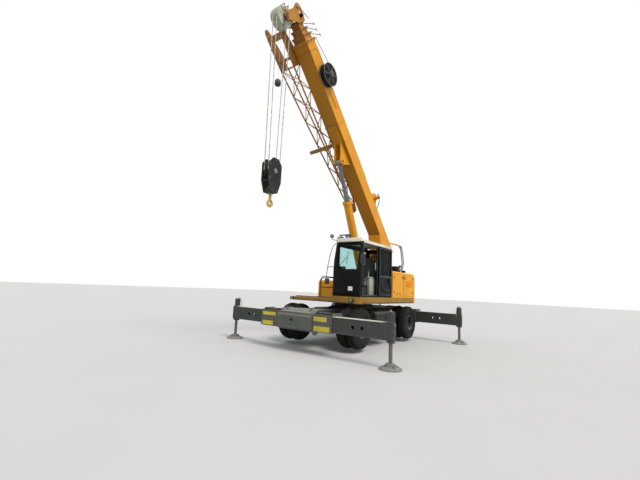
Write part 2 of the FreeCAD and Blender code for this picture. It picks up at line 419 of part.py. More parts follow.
tip += [cyl((-HEAD_X - 10, -HEAD_U, HEAD_N), (1, 0, 0), 40, 2 * HEAD_X + 20),
        cyl((-HEAD_X - 10, -8470, MID + 20), (1, 0, 0), 30, 2 * HEAD_X + 20),
        cyl((-HEAD_X - 10, -8400, n1 + 60), (1, 0, 0), 22, 2 * HEAD_X + 20)]
# wear-pad adjusters that stand out of the collars' tops
tip += [cyl((x, -8100, n1 + 14), (0, 0, 1), 9, 90) for x in (-90, 90)]
export("boom_head", raised(fuse(tip)))


def sheave(x, y, z, r, w, bore):
    s = cyl((x - w / 2, y, z), (1, 0, 0), r, w)
    groove = cyl((x - w / 2, y, z), (1, 0, 0), r + 1, w).cut(cyl((x - w / 2, y, z), (1, 0, 0), r - 22, w))
    groove = groove.common(cyl((x - w / 2 + 12, y, z), (1, 0, 0), r + 1, w - 24))
    return s.cut(groove).cut(cyl((x - w, y, z), (1, 0, 0), bore, 2 * w))


SHEAVE_X = (-144.0, -72.0, 0.0, 72.0)
hub = HEAD_X + SHEAVE_X[0] - SEAT   # half width, to the cheek plate
heads = [fuse([sheave(x, -HEAD_U, HEAD_N, SHEAVE_R, 60, 40 + SEAT),
               cyl((x - hub, -HEAD_U, HEAD_N), (1, 0, 0), 72, 2 * hub)]).cut(
                   cyl((-200, -HEAD_U, HEAD_N), (1, 0, 0), 40 + SEAT, 400)) for x in SHEAVE_X]
export("head_sheaves", raised(Part.makeCompound(heads)))

WINCH_U, DRUM_R = 2080.0, 120.0
top = BELLY + DEPTH
wn = top + 190
winch = [box(-190, 190, -WINCH_U - 290, -WINCH_U + 290, top, top + 24)]
for sx in (-1, 1):
    plate = prism([(-WINCH_U - 270, top + 20), (-WINCH_U + 270, top + 20), (-WINCH_U + 210, top + 150)]
                  + [(-WINCH_U + a, wn + b) for a, b in arc_pts(0, 0, 175, 0, 180, 10)]
                  + [(-WINCH_U - 210, top + 150)], "x", sx * 165, sx * 187)
    winch += [plate]
winch += [cyl((-166, -WINCH_U, wn), (1, 0, 0), DRUM_R, 332), cyl((187, -WINCH_U, wn), (1, 0, 0), 95, 60),
          cyl((247, -WINCH_U, wn), (1, 0, 0), 60, 120), cyl((-187, -WINCH_U, wn), (-1, 0, 0), 70, 30),
          box(-165, 165, -WINCH_U - 215, -WINCH_U - 190, top + 40, top + 110)]
winch += [cyl((x, -WINCH_U, wn), (1, 0, 0), 168, 10) for x in (-158, 148)]
export("hoist_winch", raised(fuse(winch)))
REEL_U, REEL_R = 6560.0, 330.0
reel = [cyl((x, -REEL_U, MID + 40), (1, 0, 0), REEL_R, 12) for x in (HALF_W + 40, HALF_W + 200)]
reel += [cyl((HALF_W + SEAT, -REEL_U, MID + 40), (1, 0, 0), 90, 270),
         cyl((HALF_W + 52, -REEL_U, MID + 40), (1, 0, 0), REEL_R - 50, 148),
         box(HALF_W + SEAT, HALF_W + 24, -REEL_U - 190, -REEL_U + 190, MID - 130, MID + 130)]
export("cable_reel", raised(fuse(reel)))

# Luffing cylinder
eye_y, eye_z = boom_point(EYE_U, EYE_N)
LUFF_L = hypot(eye_y - LUFF_Y, eye_z - LUFF_Z)
BARREL_L, ROD_L = 0.705 * LUFF_L, 0.53 * LUFF_L
DIR = V(0, (eye_y - LUFF_Y) / LUFF_L, (eye_z - LUFF_Z) / LUFF_L)


def along(d):
    return (0, LUFF_Y + DIR.y * d, LUFF_Z + DIR.z * d)


barrel = fuse([cyl(along(150), DIR, BARREL_R, BARREL_L - 150),
               cyl(along(BARREL_L - 100), DIR, BARREL_R + 22, 100),
               cyl((-95, LUFF_Y, LUFF_Z), (1, 0, 0), 105, 190),
               cyl(along(0), DIR, 90, 180)])
barrel = cut(barrel, [cyl(along(230), DIR, LROD_R + 20, BARREL_L - 330),
                      cyl(along(BARREL_L - 110), DIR, LROD_R + SEAT, 120),
                      cyl((-200, LUFF_Y, LUFF_Z), (1, 0, 0), 50 + SEAT, 400)])
export("luff_barrel", barrel)
rod = fuse([cyl(along(LUFF_L - ROD_L), DIR, LROD_R, ROD_L - 50), cyl((-85, eye_y, eye_z), (1, 0, 0), 92, 170)])
rod = rod.cut(cyl((-200, eye_y, eye_z), (1, 0, 0), 42, 400))
export("luff_rod", rod)

# Lattice jib stowed along the boom's right side, root fork at the boom head.
# Columns: place along the boom, inner chords' x, outer chords' x, lower and upper chords' n
JIB = ((7200, -330, -820, 170, 560), (5400, -330, -710, 178, 548), (2300, -330, -500, 215, 470))
BAYS = 12
CHORD_R, LACE_R = 24.0, 12.0


def jib_at(u):
    for a, b in zip(JIB, JIB[1:]):
        if b[0] <= u <= a[0]:
            f = (a[0] - u) / (a[0] - b[0])
            return [p + (q - p) * f for p, q in zip(a[1:], b[1:])]


def bar(p, q, r):
    d = V(*q) - V(*p)
    return Part.makeCylinder(r, d.Length, V(*p), d)


def corners(u):
    xa, xb, na, nb = jib_at(u)
    return [(xa, -u, na), (xb, -u, na), (xb, -u, nb), (xa, -u, nb)]


def tube(p, q, r, over=0.0):
    """Six-sided bar from p to q, longer by over at each end."""
    d = (V(*q) - V(*p)).normalize()
    side = d.cross(V(0, 0, 1)) if abs(d.z) < 0.9 else d.cross(V(1, 0, 0))
    side.normalize()
    up = d.cross(side)
    p0, p1 = V(*p) - d * over, V(*q) + d * over
    pts = [p0 + side * (r * cos(pi * (k + 0.5) / 3)) + up * (r * sin(pi * (k + 0.5) / 3)) for k in range(6)]
    return Part.Face(Part.makePolygon(pts + [pts[0]])).extrude(p1 - p0)


stations = [JIB[0][0] + (JIB[-1][0] - JIB[0][0]) * i / BAYS for i in range(BAYS + 1)]
jib = []
for a, b in zip(JIB, JIB[1:]):
    jib += [tube(p, q, CHORD_R, 3) for p, q in zip(corners(a[0]), corners(b[0]))]
for i in range(BAYS):
    ca, cb = corners(stations[i]), corners(stations[i + 1])
    for k in range(4):
        m = (k + 1) % 4
        jib += [tube(ca[k], cb[m], LACE_R) if (i + k) % 2 else tube(ca[m], cb[k], LACE_R)]
for u in (JIB[0][0] - 30, JIB[-1][0] + 30):
    c = corners(u)
    jib += [tube(c[k], c[(k + 1) % 4], CHORD_R - 4) for k in range(4)]
# root fork of two plate arms with a cross tube, and the tip's sheave between two plates
xa, xb, na, nb = jib_at(JIB[0][0])
for x, sx in ((xa, 1), (xb, -1)):
    jib += [prism([(-7180, na - 20), (-7180, nb + 20), (-7620, nb - 10), (-8240, na + 210), (-8330, na + 150),
                   (-8330, na + 60), (-8240, na), (-7620, na - 30)], "x", x - 11, x + 11)]
    jib += [cyl((x - 30, -8260, na + 105), (1, 0, 0), 60, 60)]
jib += [tube((xa, -7420, na + 60), (xb, -7420, na + 60), 50), tube((xa, -7420, nb - 60), (xb, -7420, nb - 60), 36),
        prism([(-7940, na - 6), (-7940, na + 14), (-8120, na + 22), (-8120, na + 2)], "x", xb, xa)]
ta, tb, tm, tn = jib_at(JIB[-1][0])
xm, nm = (ta + tb) / 2, (tm + tn) / 2
jib += [prism([(-2320, tm), (-2320, tn), (-2120, nm + 90), (-2010, nm + 40), (-2010, nm - 50), (-2120, nm - 90)],
              "x", x - 8, x + 8) for x in (ta, tb)]
jib += [cyl((tb, -2090, nm), (1, 0, 0), 22, ta - tb)]
jib += [sheave(xm, -2090, nm, 130, 44, 21)]
# stowing brackets off the boom's side, the lower one running out under the chords to a point
for u in (7080, 3100):
    nb_u = jib_at(u)[3]
    jib += [tube((-HALF_W - SEAT, -u, nb_u), (jib_at(u)[0], -u, nb_u), CHORD_R)]
jib += [prism([(-HALF_W - 20 - SEAT, 400), (-HALF_W - 20 - SEAT, 150), (-760, 120), (-980, 70), (-760, 165)],
              "y", -4560, -4600)]
export("lattice_jib", raised(fuse(jib)))

# Hook: socket on the head, rope falls, block and hook
hy, hz = boom_point(HEAD_U, HEAD_N)
SOCKET_X = 128.0
export("rope_socket", fuse([cyl((SOCKET_X - 18, hy, hz), (1, 0, 0), 75, 36),
                            box(SOCKET_X - 18, SOCKET_X + 18, hy - 35, hy + 35, hz - 420, hz)]
                           ).cut(cyl((0, hy, hz), (1, 0, 0), 40 + SEAT, 200)))
ROPE_R, BLOCK_R = 11.0, 200.0
zs = HOOK_TOP - 330
lo, hi = BLOCK_R - 22 + ROPE_R + SEAT, SHEAVE_R - 22 + ROPE_R + SEAT
export("rope_falls", Part.makeCompound([bar((x, hy + k * lo, zs), (x, hy + k * hi, hz), ROPE_R)
                                        for x in (-72, 72) for k in (-1, 1)]))
block = fuse([prism([(hy - 120, 3960), (hy + 120, 3960), (hy + 220, 4250), (hy + 220, 4700), (hy + 90, HOOK_TOP),
                     (hy - 90, HOOK_TOP), (hy - 220, 4700), (hy - 220, 4250)], "x", x, x + 16)
              for x in (-130, 114)] + [box(-130, 130, hy - 110, hy + 110, 3960, 4060),
                                       cyl((-135, hy, zs), (1, 0, 0), 40, 270)]
             + [sheave(x, hy, zs, BLOCK_R, 60, 39) for x in (-72, 72)])
block = block.cut(cyl((0, hy, 3900), (0, 0, 1), 36 + SEAT, 200))
export("hook_block", block)
SHANK_Z, BOWL_Z, BOWL_R = 3790.0, 3700.0, 70.0
bowl = [V(0, hy - BOWL_R * cos(radians(a)), BOWL_Z + BOWL_R * sin(radians(a))) for a in range(150, 421, 30)]
path = [V(0, hy, SHANK_Z + 10), bowl[0]] + bowl[1:]
hook = [cyl((0, hy, SHANK_Z - 20), (0, 0, 1), 36, 330), cyl((0, hy, 4060 + SEAT), (0, 0, 1), 70, 40)]
hook += [tube(p, q, 36 if i < 6 else 32 - 2 * (i - 6), 9) for i, (p, q) in enumerate(zip(path, path[1:]))]
export("hook", fuse(hook))
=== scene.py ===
from math import sin, cos, pi, radians

import bmesh
import bpy
from mathutils import Matrix, Vector


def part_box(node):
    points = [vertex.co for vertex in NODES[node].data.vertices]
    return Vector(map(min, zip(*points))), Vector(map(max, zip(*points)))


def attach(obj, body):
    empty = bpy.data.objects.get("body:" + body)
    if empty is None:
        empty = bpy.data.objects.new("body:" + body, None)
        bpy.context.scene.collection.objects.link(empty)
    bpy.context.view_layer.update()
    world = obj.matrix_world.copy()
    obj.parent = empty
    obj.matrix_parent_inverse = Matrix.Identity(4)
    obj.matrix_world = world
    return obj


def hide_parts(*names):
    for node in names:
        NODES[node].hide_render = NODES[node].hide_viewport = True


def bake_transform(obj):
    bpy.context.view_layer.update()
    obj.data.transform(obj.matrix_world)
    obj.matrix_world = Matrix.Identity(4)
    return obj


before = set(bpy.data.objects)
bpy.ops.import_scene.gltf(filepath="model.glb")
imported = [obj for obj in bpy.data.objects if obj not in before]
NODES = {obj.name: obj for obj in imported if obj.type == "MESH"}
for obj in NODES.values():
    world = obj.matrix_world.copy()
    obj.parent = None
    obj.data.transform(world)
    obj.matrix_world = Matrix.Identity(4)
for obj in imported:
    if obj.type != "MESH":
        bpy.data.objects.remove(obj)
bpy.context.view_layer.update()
V = Vector
UP, DOWN, LEFT, BACK, AHEAD = (0, 0, 1), (0, 0, -1), (1, 0, 0), (0, 1, 0), (0, -1, 0)
UPPER = "superstructure"

# Camera at the photograph's viewing angle, before all else
AZ, PITCH, ROLL = radians(36.828), radians(7.974), radians(2.62)
SENSOR, FOCAL_PX, IMAGE_PX = 36, 343.073, 640
fwd = V((-sin(AZ) * cos(PITCH), cos(AZ) * cos(PITCH), sin(PITCH)))
right = V((cos(AZ), sin(AZ), 0))
up = right.cross(fwd)
right, up = cos(ROLL) * right + sin(ROLL) * up, cos(ROLL) * up - sin(ROLL) * right
cam_data = bpy.data.cameras.new("camera")
cam_data.sensor_width = SENSOR
cam_data.lens = SENSOR * FOCAL_PX / IMAGE_PX
cam_data.clip_end = 300
cam = bpy.data.objects.new("camera", cam_data)
cam.matrix_world = Matrix((right, up, -fwd)).transposed().to_4x4()
cam.location = (6.011, -10.032, 1.676)
bpy.context.scene.collection.objects.link(cam)
bpy.context.scene.camera = cam

# Places shared with the part's source, in metres
ELEV = 45.1
PIVOT = V((0, 1.72, 2.86))
BOOM = Matrix.Translation(PIVOT) @ Matrix.Rotation(radians(-ELEV), 4, "X")   # local y is -u, z is n
LUFF_BASE = V((0, .724, 1.738))
LUFF_ELEV = 64.87
LUFF = Matrix.Translation(LUFF_BASE) @ Matrix.Rotation(radians(-LUFF_ELEV), 4, "X")
BEAMS = (("front_left", 1, -2.865), ("front_right", -1, -2.629), ("rear_left", 1, 2.629),
        ("rear_right", -1, 2.865))
JACK_X = 2.7
AXLES = (("front", -1.65), ("rear", 1.65))
SIDES = (("left", 1), ("right", -1))
BELLY, TOP, HALF_W = .383, .833, .24
HEAD_U, HEAD_N = 8.358, .03
HEAD_Y = PIVOT.y - HEAD_U * cos(radians(ELEV)) + HEAD_N * sin(radians(ELEV))
HEAD_Z = PIVOT.z + HEAD_U * sin(radians(ELEV)) + HEAD_N * cos(radians(ELEV))


# Materials
def shader(name):
    m = bpy.data.materials.new(name)
    m.use_nodes = True
    nt = m.node_tree
    nt.nodes.clear()
    b = nt.nodes.new("ShaderNodeBsdfPrincipled")
    out = nt.nodes.new("ShaderNodeOutputMaterial")
    nt.links.new(b.outputs[0], out.inputs[0])
    return m, nt, b


def node(nt, kind, ins=(), out=0, **props):
    n = nt.nodes.new("ShaderNode" + kind)
    for k, v in props.items():
        setattr(n, k, v)
    for k, v in dict(ins).items():
        if isinstance(v, bpy.types.NodeSocket):
            nt.links.new(v, n.inputs[k])
        else:
            n.inputs[k].default_value = v
    return n.outputs[out]


def put(nt, b, **ins):
    for k, v in ins.items():
        k = k.replace("_", " ")
        if isinstance(v, bpy.types.NodeSocket):
            nt.links.new(v, b.inputs[k])
        else:
            b.inputs[k].default_value = v


def coords(nt, scale=(1, 1, 1)):
    return node(nt, "Mapping", {0: node(nt, "TexCoord", out=3), "Scale": scale})


def noise(nt, vec, scale, detail=4.0, rough=.55):
    return node(nt, "TexNoise", {"Vector": vec, "Scale": scale, "Detail": detail, "Roughness": rough})


def ramp(nt, fac, lo, hi, a=.0, b=1.0):
    return node(nt, "MapRange", {"Value": fac, "From Min": lo, "From Max": hi, "To Min": a, "To Max": b})


def times(nt, *fs):
    s = fs[0]
    for f in fs[1:]:
        s = node(nt, "Math", {0: s, 1: f}, operation="MULTIPLY")
    return s


def mix(nt, fac, a, b):
    n = nt.nodes.new("ShaderNodeMix")
    n.data_type = "RGBA"
    for k, v in ((0, fac), (6, a), (7, b)):
        if isinstance(v, bpy.types.NodeSocket):
            nt.links.new(v, n.inputs[k])
        else:
            n.inputs[k].default_value = v if k == 0 else (*v, 1)[:4]
    return n.outputs[2]


def upward(nt, lo=.5, hi=.95):
    z = node(nt, "SeparateXYZ", {0: node(nt, "NewGeometry", out=1)}, out=2)
    return ramp(nt, z, lo, hi)


def edges(nt, radius):
    """1 on sharp edges, 0 on flats."""
    bev = node(nt, "Bevel", {"Radius": radius}, samples=4)
    d = node(nt, "VectorMath", {0: bev, 1: node(nt, "NewGeometry", out=1)}, out=1, operation="DOT_PRODUCT")
    return ramp(nt, d, .995, .9)


def bump(nt, height, strength, dist, normal=None):
    ins = {"Height": height, "Strength": strength, "Distance": dist}
    if normal is not None:
        ins["Normal"] = normal
    return node(nt, "Bump", ins)


def paint(name, col, faded, rough=.42, wear=.6, worn=(.1, .085, .075), dust=.25, streak=.25, spec=.35,
        coat=.0, edge=.008, painted_shade_below=.0, soil=(.36, .33, .29), above=None):
    """Sprayed paint on steel: fading in clouds, rain streaks, dust on top, painted shade on faces that look
    down, chipped edges.
    above is a height and the colour over it."""
    m, nt, b = shader(name)
    p = coords(nt)
    cloud = noise(nt, p, .9, 5)
    fine = noise(nt, p, 34, 5, .65)
    runs = noise(nt, coords(nt, (9, 9, .7)), 1.6, 5)
    c = mix(nt, ramp(nt, cloud, .38, .66), col, faded)
    c = mix(nt, times(nt, ramp(nt, runs, .52, .72), streak), c, tuple(x * .55 for x in col))
    # painted shade: faces that look down are darkened towards a fifth of the colour
    c = mix(nt, times(nt, upward(nt, -.3, -.9), painted_shade_below), c, tuple(x * .2 for x in col))
    c = mix(nt, times(nt, upward(nt), ramp(nt, fine, .3, .62), dust), c, soil)
    if above:
        z, shade = above
        high = ramp(nt, node(nt, "SeparateXYZ", {0: p}, out=2), z, z + .005)
        c = mix(nt, high, c, mix(nt, fine, shade, tuple(x * .6 for x in shade)))
    chips = times(nt, edges(nt, edge), ramp(nt, noise(nt, p, 55, 3, .7), .47, .56), wear)
    spots = times(nt, ramp(nt, noise(nt, p, 19, 6, .75), .7, .73), wear)
    c = mix(nt, node(nt, "Math", {0: chips, 1: spots}, operation="MAXIMUM"), c, worn)
    r = ramp(nt, fine, .3, .7, rough - .07, rough + .14)
    put(nt, b, Base_Color=c, Roughness=r, Specular_IOR_Level=spec, Coat_Weight=coat, Coat_Roughness=.25,
            Normal=bump(nt, noise(nt, p, 160, 3), .12, .002,
            node(nt, "Bevel", {"Radius": edge * .6}, samples=4)))
    return m


def steel(name, col, rough=.3, metallic=1.0, stain=.4, dark=(.05, .045, .04), bevel=.004):
    m, nt, b = shader(name)
    p = coords(nt)
    grime = ramp(nt, noise(nt, p, 7, 6, .7), .45, .7)
    fine = noise(nt, coords(nt, (1, 1, 6)), 90, 3)
    put(nt, b, Base_Color=mix(nt, times(nt, grime, stain), col, dark), Metallic=metallic,
            Roughness=ramp(nt, fine, .3, .7, rough * .8, rough * 1.4),
            Normal=bump(nt, fine, .08, .001, node(nt, "Bevel", {"Radius": bevel}, samples=3)))
    return m


def rubber(name, col=(.012, .0125, .0125), dust=.2):
    m, nt, b = shader(name)
    p = coords(nt)
    cloud = times(nt, ramp(nt, noise(nt, p, 3.2, 6, .7), .42, .72), dust)
    c = mix(nt, cloud, col, (.085, .08, .068))
    c = mix(nt, times(nt, ramp(nt, noise(nt, p, 60, 3), .55, .7), .3), c, (.1, .095, .082))
    put(nt, b, Base_Color=c, Roughness=ramp(nt, noise(nt, p, 40, 3), .3, .7, .72, .92),
            Specular_IOR_Level=.12,
            Normal=bump(nt, noise(nt, p, 120, 4), .3, .003, node(nt, "Bevel", {"Radius": .004}, samples=3)))
    return m


def glass(name, col, rough):
    m, nt, b = shader(name)
    p = coords(nt)
    smear = ramp(nt, noise(nt, p, 5, 5, .6), .4, .75, rough, rough + .1)
    c = mix(nt, times(nt, ramp(nt, noise(nt, p, 3, 5), .5, .8), .4), col, tuple(x * .75 + .15 for x in col))
    put(nt, b, Base_Color=c, Roughness=smear, IOR=1.45, Transmission_Weight=.85, Specular_IOR_Level=.9)
    return m


def pane(name, tint, left=None):
    """Thin window glass with a weak mirror on its face; left tints the cab's left side and back."""
    m, nt, b = shader(name)
    p = coords(nt)
    if left:
        dark = node(nt, "Math", {0: ramp(nt, node(nt, "SeparateXYZ", {0: p}), 1.18, 1.2),
                1: ramp(nt, node(nt, "SeparateXYZ", {0: p}, out=1), .19, .21)}, operation="MAXIMUM")
        tint = mix(nt, dark, tint, left)
    haze = mix(nt, noise(nt, p, 4, 4), (.015, .022, .022), (.03, .04, .04))
    put(nt, b, Base_Color=haze, Roughness=ramp(nt, noise(nt, p, 5, 5, .6), .4, .75, .04, .14))
    smear = times(nt, ramp(nt, noise(nt, p, 3, 5), .45, .8), .35)
    clear = node(nt, "BsdfTransparent", {"Color": mix(nt, smear, tint, (.6, .68, .68))})
    out = node(nt, "MixShader", {0: ramp(nt, node(nt, "LayerWeight", out=1), .5, 1.0, .05, .6), 1: clear,
            2: b.outputs[0]})
    nt.links.new(out, next(n for n in nt.nodes if n.bl_idname == "ShaderNodeOutputMaterial").inputs[0])
    return m


def plastic(name, col, rough=.5):
    m, nt, b = shader(name)
    p = coords(nt)
    c = mix(nt, ramp(nt, noise(nt, p, 6, 5), .45, .75), col, tuple(x * 1.25 + .012 for x in col))
    put(nt, b, Base_Color=c, Roughness=ramp(nt, noise(nt, p, 30, 3), .3, .7, rough - .08, rough + .1),
            Normal=bump(nt, noise(nt, p, 420, 2), .25, .0008,
            node(nt, "Bevel", {"Radius": .003}, samples=3)))
    return m


def cloth(name, col, dark):
    m, nt, b = shader(name)
    p = coords(nt)
    wx = node(nt, "TexWave", {"Vector": p, "Scale": 180.0}, out=1, bands_direction="X")
    wz = node(nt, "TexWave", {"Vector": p, "Scale": 180.0}, out=1, bands_direction="Z")
    weave = node(nt, "Math", {0: wx, 1: wz}, operation="MULTIPLY")
    c = mix(nt, ramp(nt, noise(nt, p, 8, 5), .4, .7), col, dark)
    back = ramp(nt, node(nt, "SeparateXYZ", {0: p}, out=2), 1.98, 2.1)      # painted shade: the backrest and headrest, up in the cab's dark interior, are darkened
    c = mix(nt, back, c, tuple(x * .15 for x in dark))
    put(nt, b, Base_Color=mix(nt, times(nt, weave, .35), c, tuple(x * .15 for x in dark)),
            Roughness=ramp(nt, weave, 0, 1, .8, .95), Sheen_Weight=.3, Normal=bump(nt, weave, .4, .001))
    return m


def rope_mat(name, col, turns=46.0):
    m, nt, b = shader(name)
    p = coords(nt)
    lay = node(nt, "TexWave", {"Vector": p, "Scale": turns, "Distortion": 1.5, "Detail Scale": 3.0}, out=1,
            bands_direction="DIAGONAL")
    grime = noise(nt, p, 12, 4)
    put(nt, b, Base_Color=mix(nt, ramp(nt, grime, .4, .7), col, tuple(x * .4 for x in col)), Metallic=.75,
            Roughness=ramp(nt, lay, 0, 1, .35, .6), Normal=bump(nt, lay, .7, .004))
    return m


M = {
    "orange": paint("orange_paint", (.86, .37, .008), (.74, .31, .012), coat=.04, streak=.3, wear=.6,
        painted_shade_below=.6, spec=.2),
    "deck": paint("deck_paint", (.36, .19, .022), (.24, .135, .024), rough=.5, streak=.45, dust=.35,
        wear=.8, painted_shade_below=.7, spec=.2, soil=(.24, .19, .13)),
    "boom": paint("boom_paint", (.8, .34, .01), (.68, .28, .014), coat=.04, streak=.22, dust=.35,
        painted_shade_below=1.0, spec=.2),
    "inner": paint("inner_boom_paint", (.6, .25, .02), (.42, .18, .022), streak=.3, dust=.35, painted_shade_below=1.0,
        spec=.2),
    "jib": paint("jib_paint", (.42, .19, .035), (.31, .14, .035), rough=.55, wear=.8,
        worn=(.15, .06, .03), painted_shade_below=.5),
    "slate": paint("slate_paint", (.076, .082, .072), (.098, .1, .086), rough=.5, wear=.85,
        worn=(.3, .29, .27), dust=.65, streak=.3, spec=.25, soil=(.42, .4, .34)),
    # the beams' pale dusty tops are partly painted highlight, standing in for the light that catches them
    "beam": paint("beam_paint", (.042, .046, .042), (.06, .063, .055), rough=.48, wear=.9,
        worn=(.36, .36, .35), dust=.6, streak=.35, spec=.2, soil=(.42, .4, .34)),
    "chassis": paint("chassis_paint", (.026, .028, .03), (.042, .043, .044), rough=.6, wear=.6,
        worn=(.14, .1, .07), dust=.4, spec=.2),
    "jack": paint("jack_paint", (.3, .3, .27), (.22, .22, .2), rough=.5, wear=.8,
        worn=(.12, .09, .07), dust=.3, spec=.25),
    "leg": paint("leg_paint", (.3, .3, .27), (.22, .22, .2), rough=.5, wear=.8,
        worn=(.12, .09, .07), dust=.3, spec=.25, above=(.13, (.17, .168, .15))),
    "black": paint("black_paint", (.005, .006, .006), (.01, .01, .011), rough=.42, wear=.3,
        worn=(.08, .08, .08), dust=.15, spec=.08, streak=.1),
    "cab_grey": paint("cab_grey_paint", (.05, .053, .056), (.07, .072, .075), rough=.45, wear=.35,
        worn=(.16, .16, .15), dust=.2, spec=.25),
    "cream": paint("cream_paint", (.8, .79, .66), (.66, .65, .54), rough=.5, wear=.4, dust=.3,
        worn=(.2, .17, .12)),
    "yellow": paint("stripe_yellow", (.62, .5, .035), (.5, .41, .05), rough=.55, wear=.7,
        worn=(.08, .09, .09), dust=.3, streak=.4),
    "hook": paint("hook_paint", (.62, .42, .06), (.5, .33, .07), rough=.5, wear=.8, worn=(.16, .11, .08)),
    "block": paint("block_paint", (.02, .021, .019), (.032, .032, .028), rough=.55, wear=.8,
        worn=(.14, .1, .05), dust=.0, spec=.2),
    "iron": steel("dark_iron", (.07, .068, .065), .6, .5, .6),
    "bolt": steel("bolt_steel", (.26, .25, .23), .45, .85, .6, dark=(.1, .06, .035), bevel=.002),
    "chrome": steel("rod_chrome", (.17, .19, .19), .2, 1.0, .4, dark=(.05, .055, .055)),
    "zinc": steel("zinc_plate", (.42, .43, .42), .45, .7, .3),
    "polyamide": plastic("sheave_polymer", (.44, .46, .34), .45),
    "tyre": rubber("tyre_rubber"),
    "hose": rubber("hose_rubber", (.014, .014, .015), .2),
    "seal": rubber("seal_rubber", (.01, .01, .011), .1),
    "rim": paint("rim_paint", (.04, .044, .048), (.07, .068, .062), rough=.6, wear=.5,
        worn=(.13, .08, .05), dust=.6, spec=.25),
    "glass": pane("window_glass", (.84, .95, .95)),
    "tint": pane("tinted_glass", (.84, .95, .95), left=(.52, .6, .57)),
    "lens": glass("lamp_lens", (.85, .88, .9), .12),
    "red": glass("red_lens", (.55, .02, .015), .15),
    "amber": glass("amber_lens", (.75, .28, .02), .15),
    "plastic": plastic("black_plastic", (.016, .016, .018), .5),
    "trim": plastic("trim_plastic", (.36, .35, .29), .5),
    "seat": cloth("seat_cloth", (.38, .37, .3), (.26, .25, .2)),
    "rope": rope_mat("steel_rope", (.5, .49, .45)),
}

NODE_MATS = {
    "slate": ("front_outrigger_box", "rear_outrigger_box"),
    "beam": tuple("beam_" + t for t, _, _ in BEAMS),
    "chassis": ("chassis_frame", "side_lockers", "front_axle", "rear_axle", "steering_knuckle_left",
        "steering_knuckle_right"),
    "leg": tuple("jack_leg_" + t for t, _, _ in BEAMS), "deck": ("slewing_platform",),
    "iron": ("slew_ring", "driveline", "engine_block", "slew_motor", "exhaust_stack"),
    "orange": ("engine_hood", "tank_housing", "counterweight", "boom_support", "hoist_winch"),
    "boom": ("boom_base", "luff_barrel"), "inner": ("boom_section_2", "boom_section_3", "boom_head"),
    "jib": ("lattice_jib",), "black": ("cab_shell", "cab_door", "cable_reel"), "cream": ("cab_roof",),
    "glass": ("windscreen",), "tint": ("door_glass", "cab_windows"), "plastic": ("lamps",),
    "tyre": tuple("twin_tyres_%s_%s" % (a, b) for a in ("front", "rear") for b in ("left", "right")),
    "rim": tuple("rim_%s_%s" % (a, b) for a in ("front", "rear") for b in ("left", "right")),
    "chrome": ("luff_rod",), "polyamide": ("head_sheaves",), "bolt": ("rope_socket",),
    "block": ("hook_block",), "hook": ("hook",),
}
for key, names in NODE_MATS.items():
    for n in names:
        NODES[n].data.materials.clear()
        NODES[n].data.materials.append(M[key])


# Mesh building
def around(n, start=.0):
    """Cosine and sine of n equal steps round a circle."""
    return [(cos(start + 2 * pi * i / n), sin(start + 2 * pi * i / n)) for i in range(n)]


def blade(x, y, z, c, s, corners):
    """Corners (radius, offset) turned about the x axis at (y, z)."""
    return [(x, y + r * c - t * s, z + r * s + t * c) for r, t in corners]


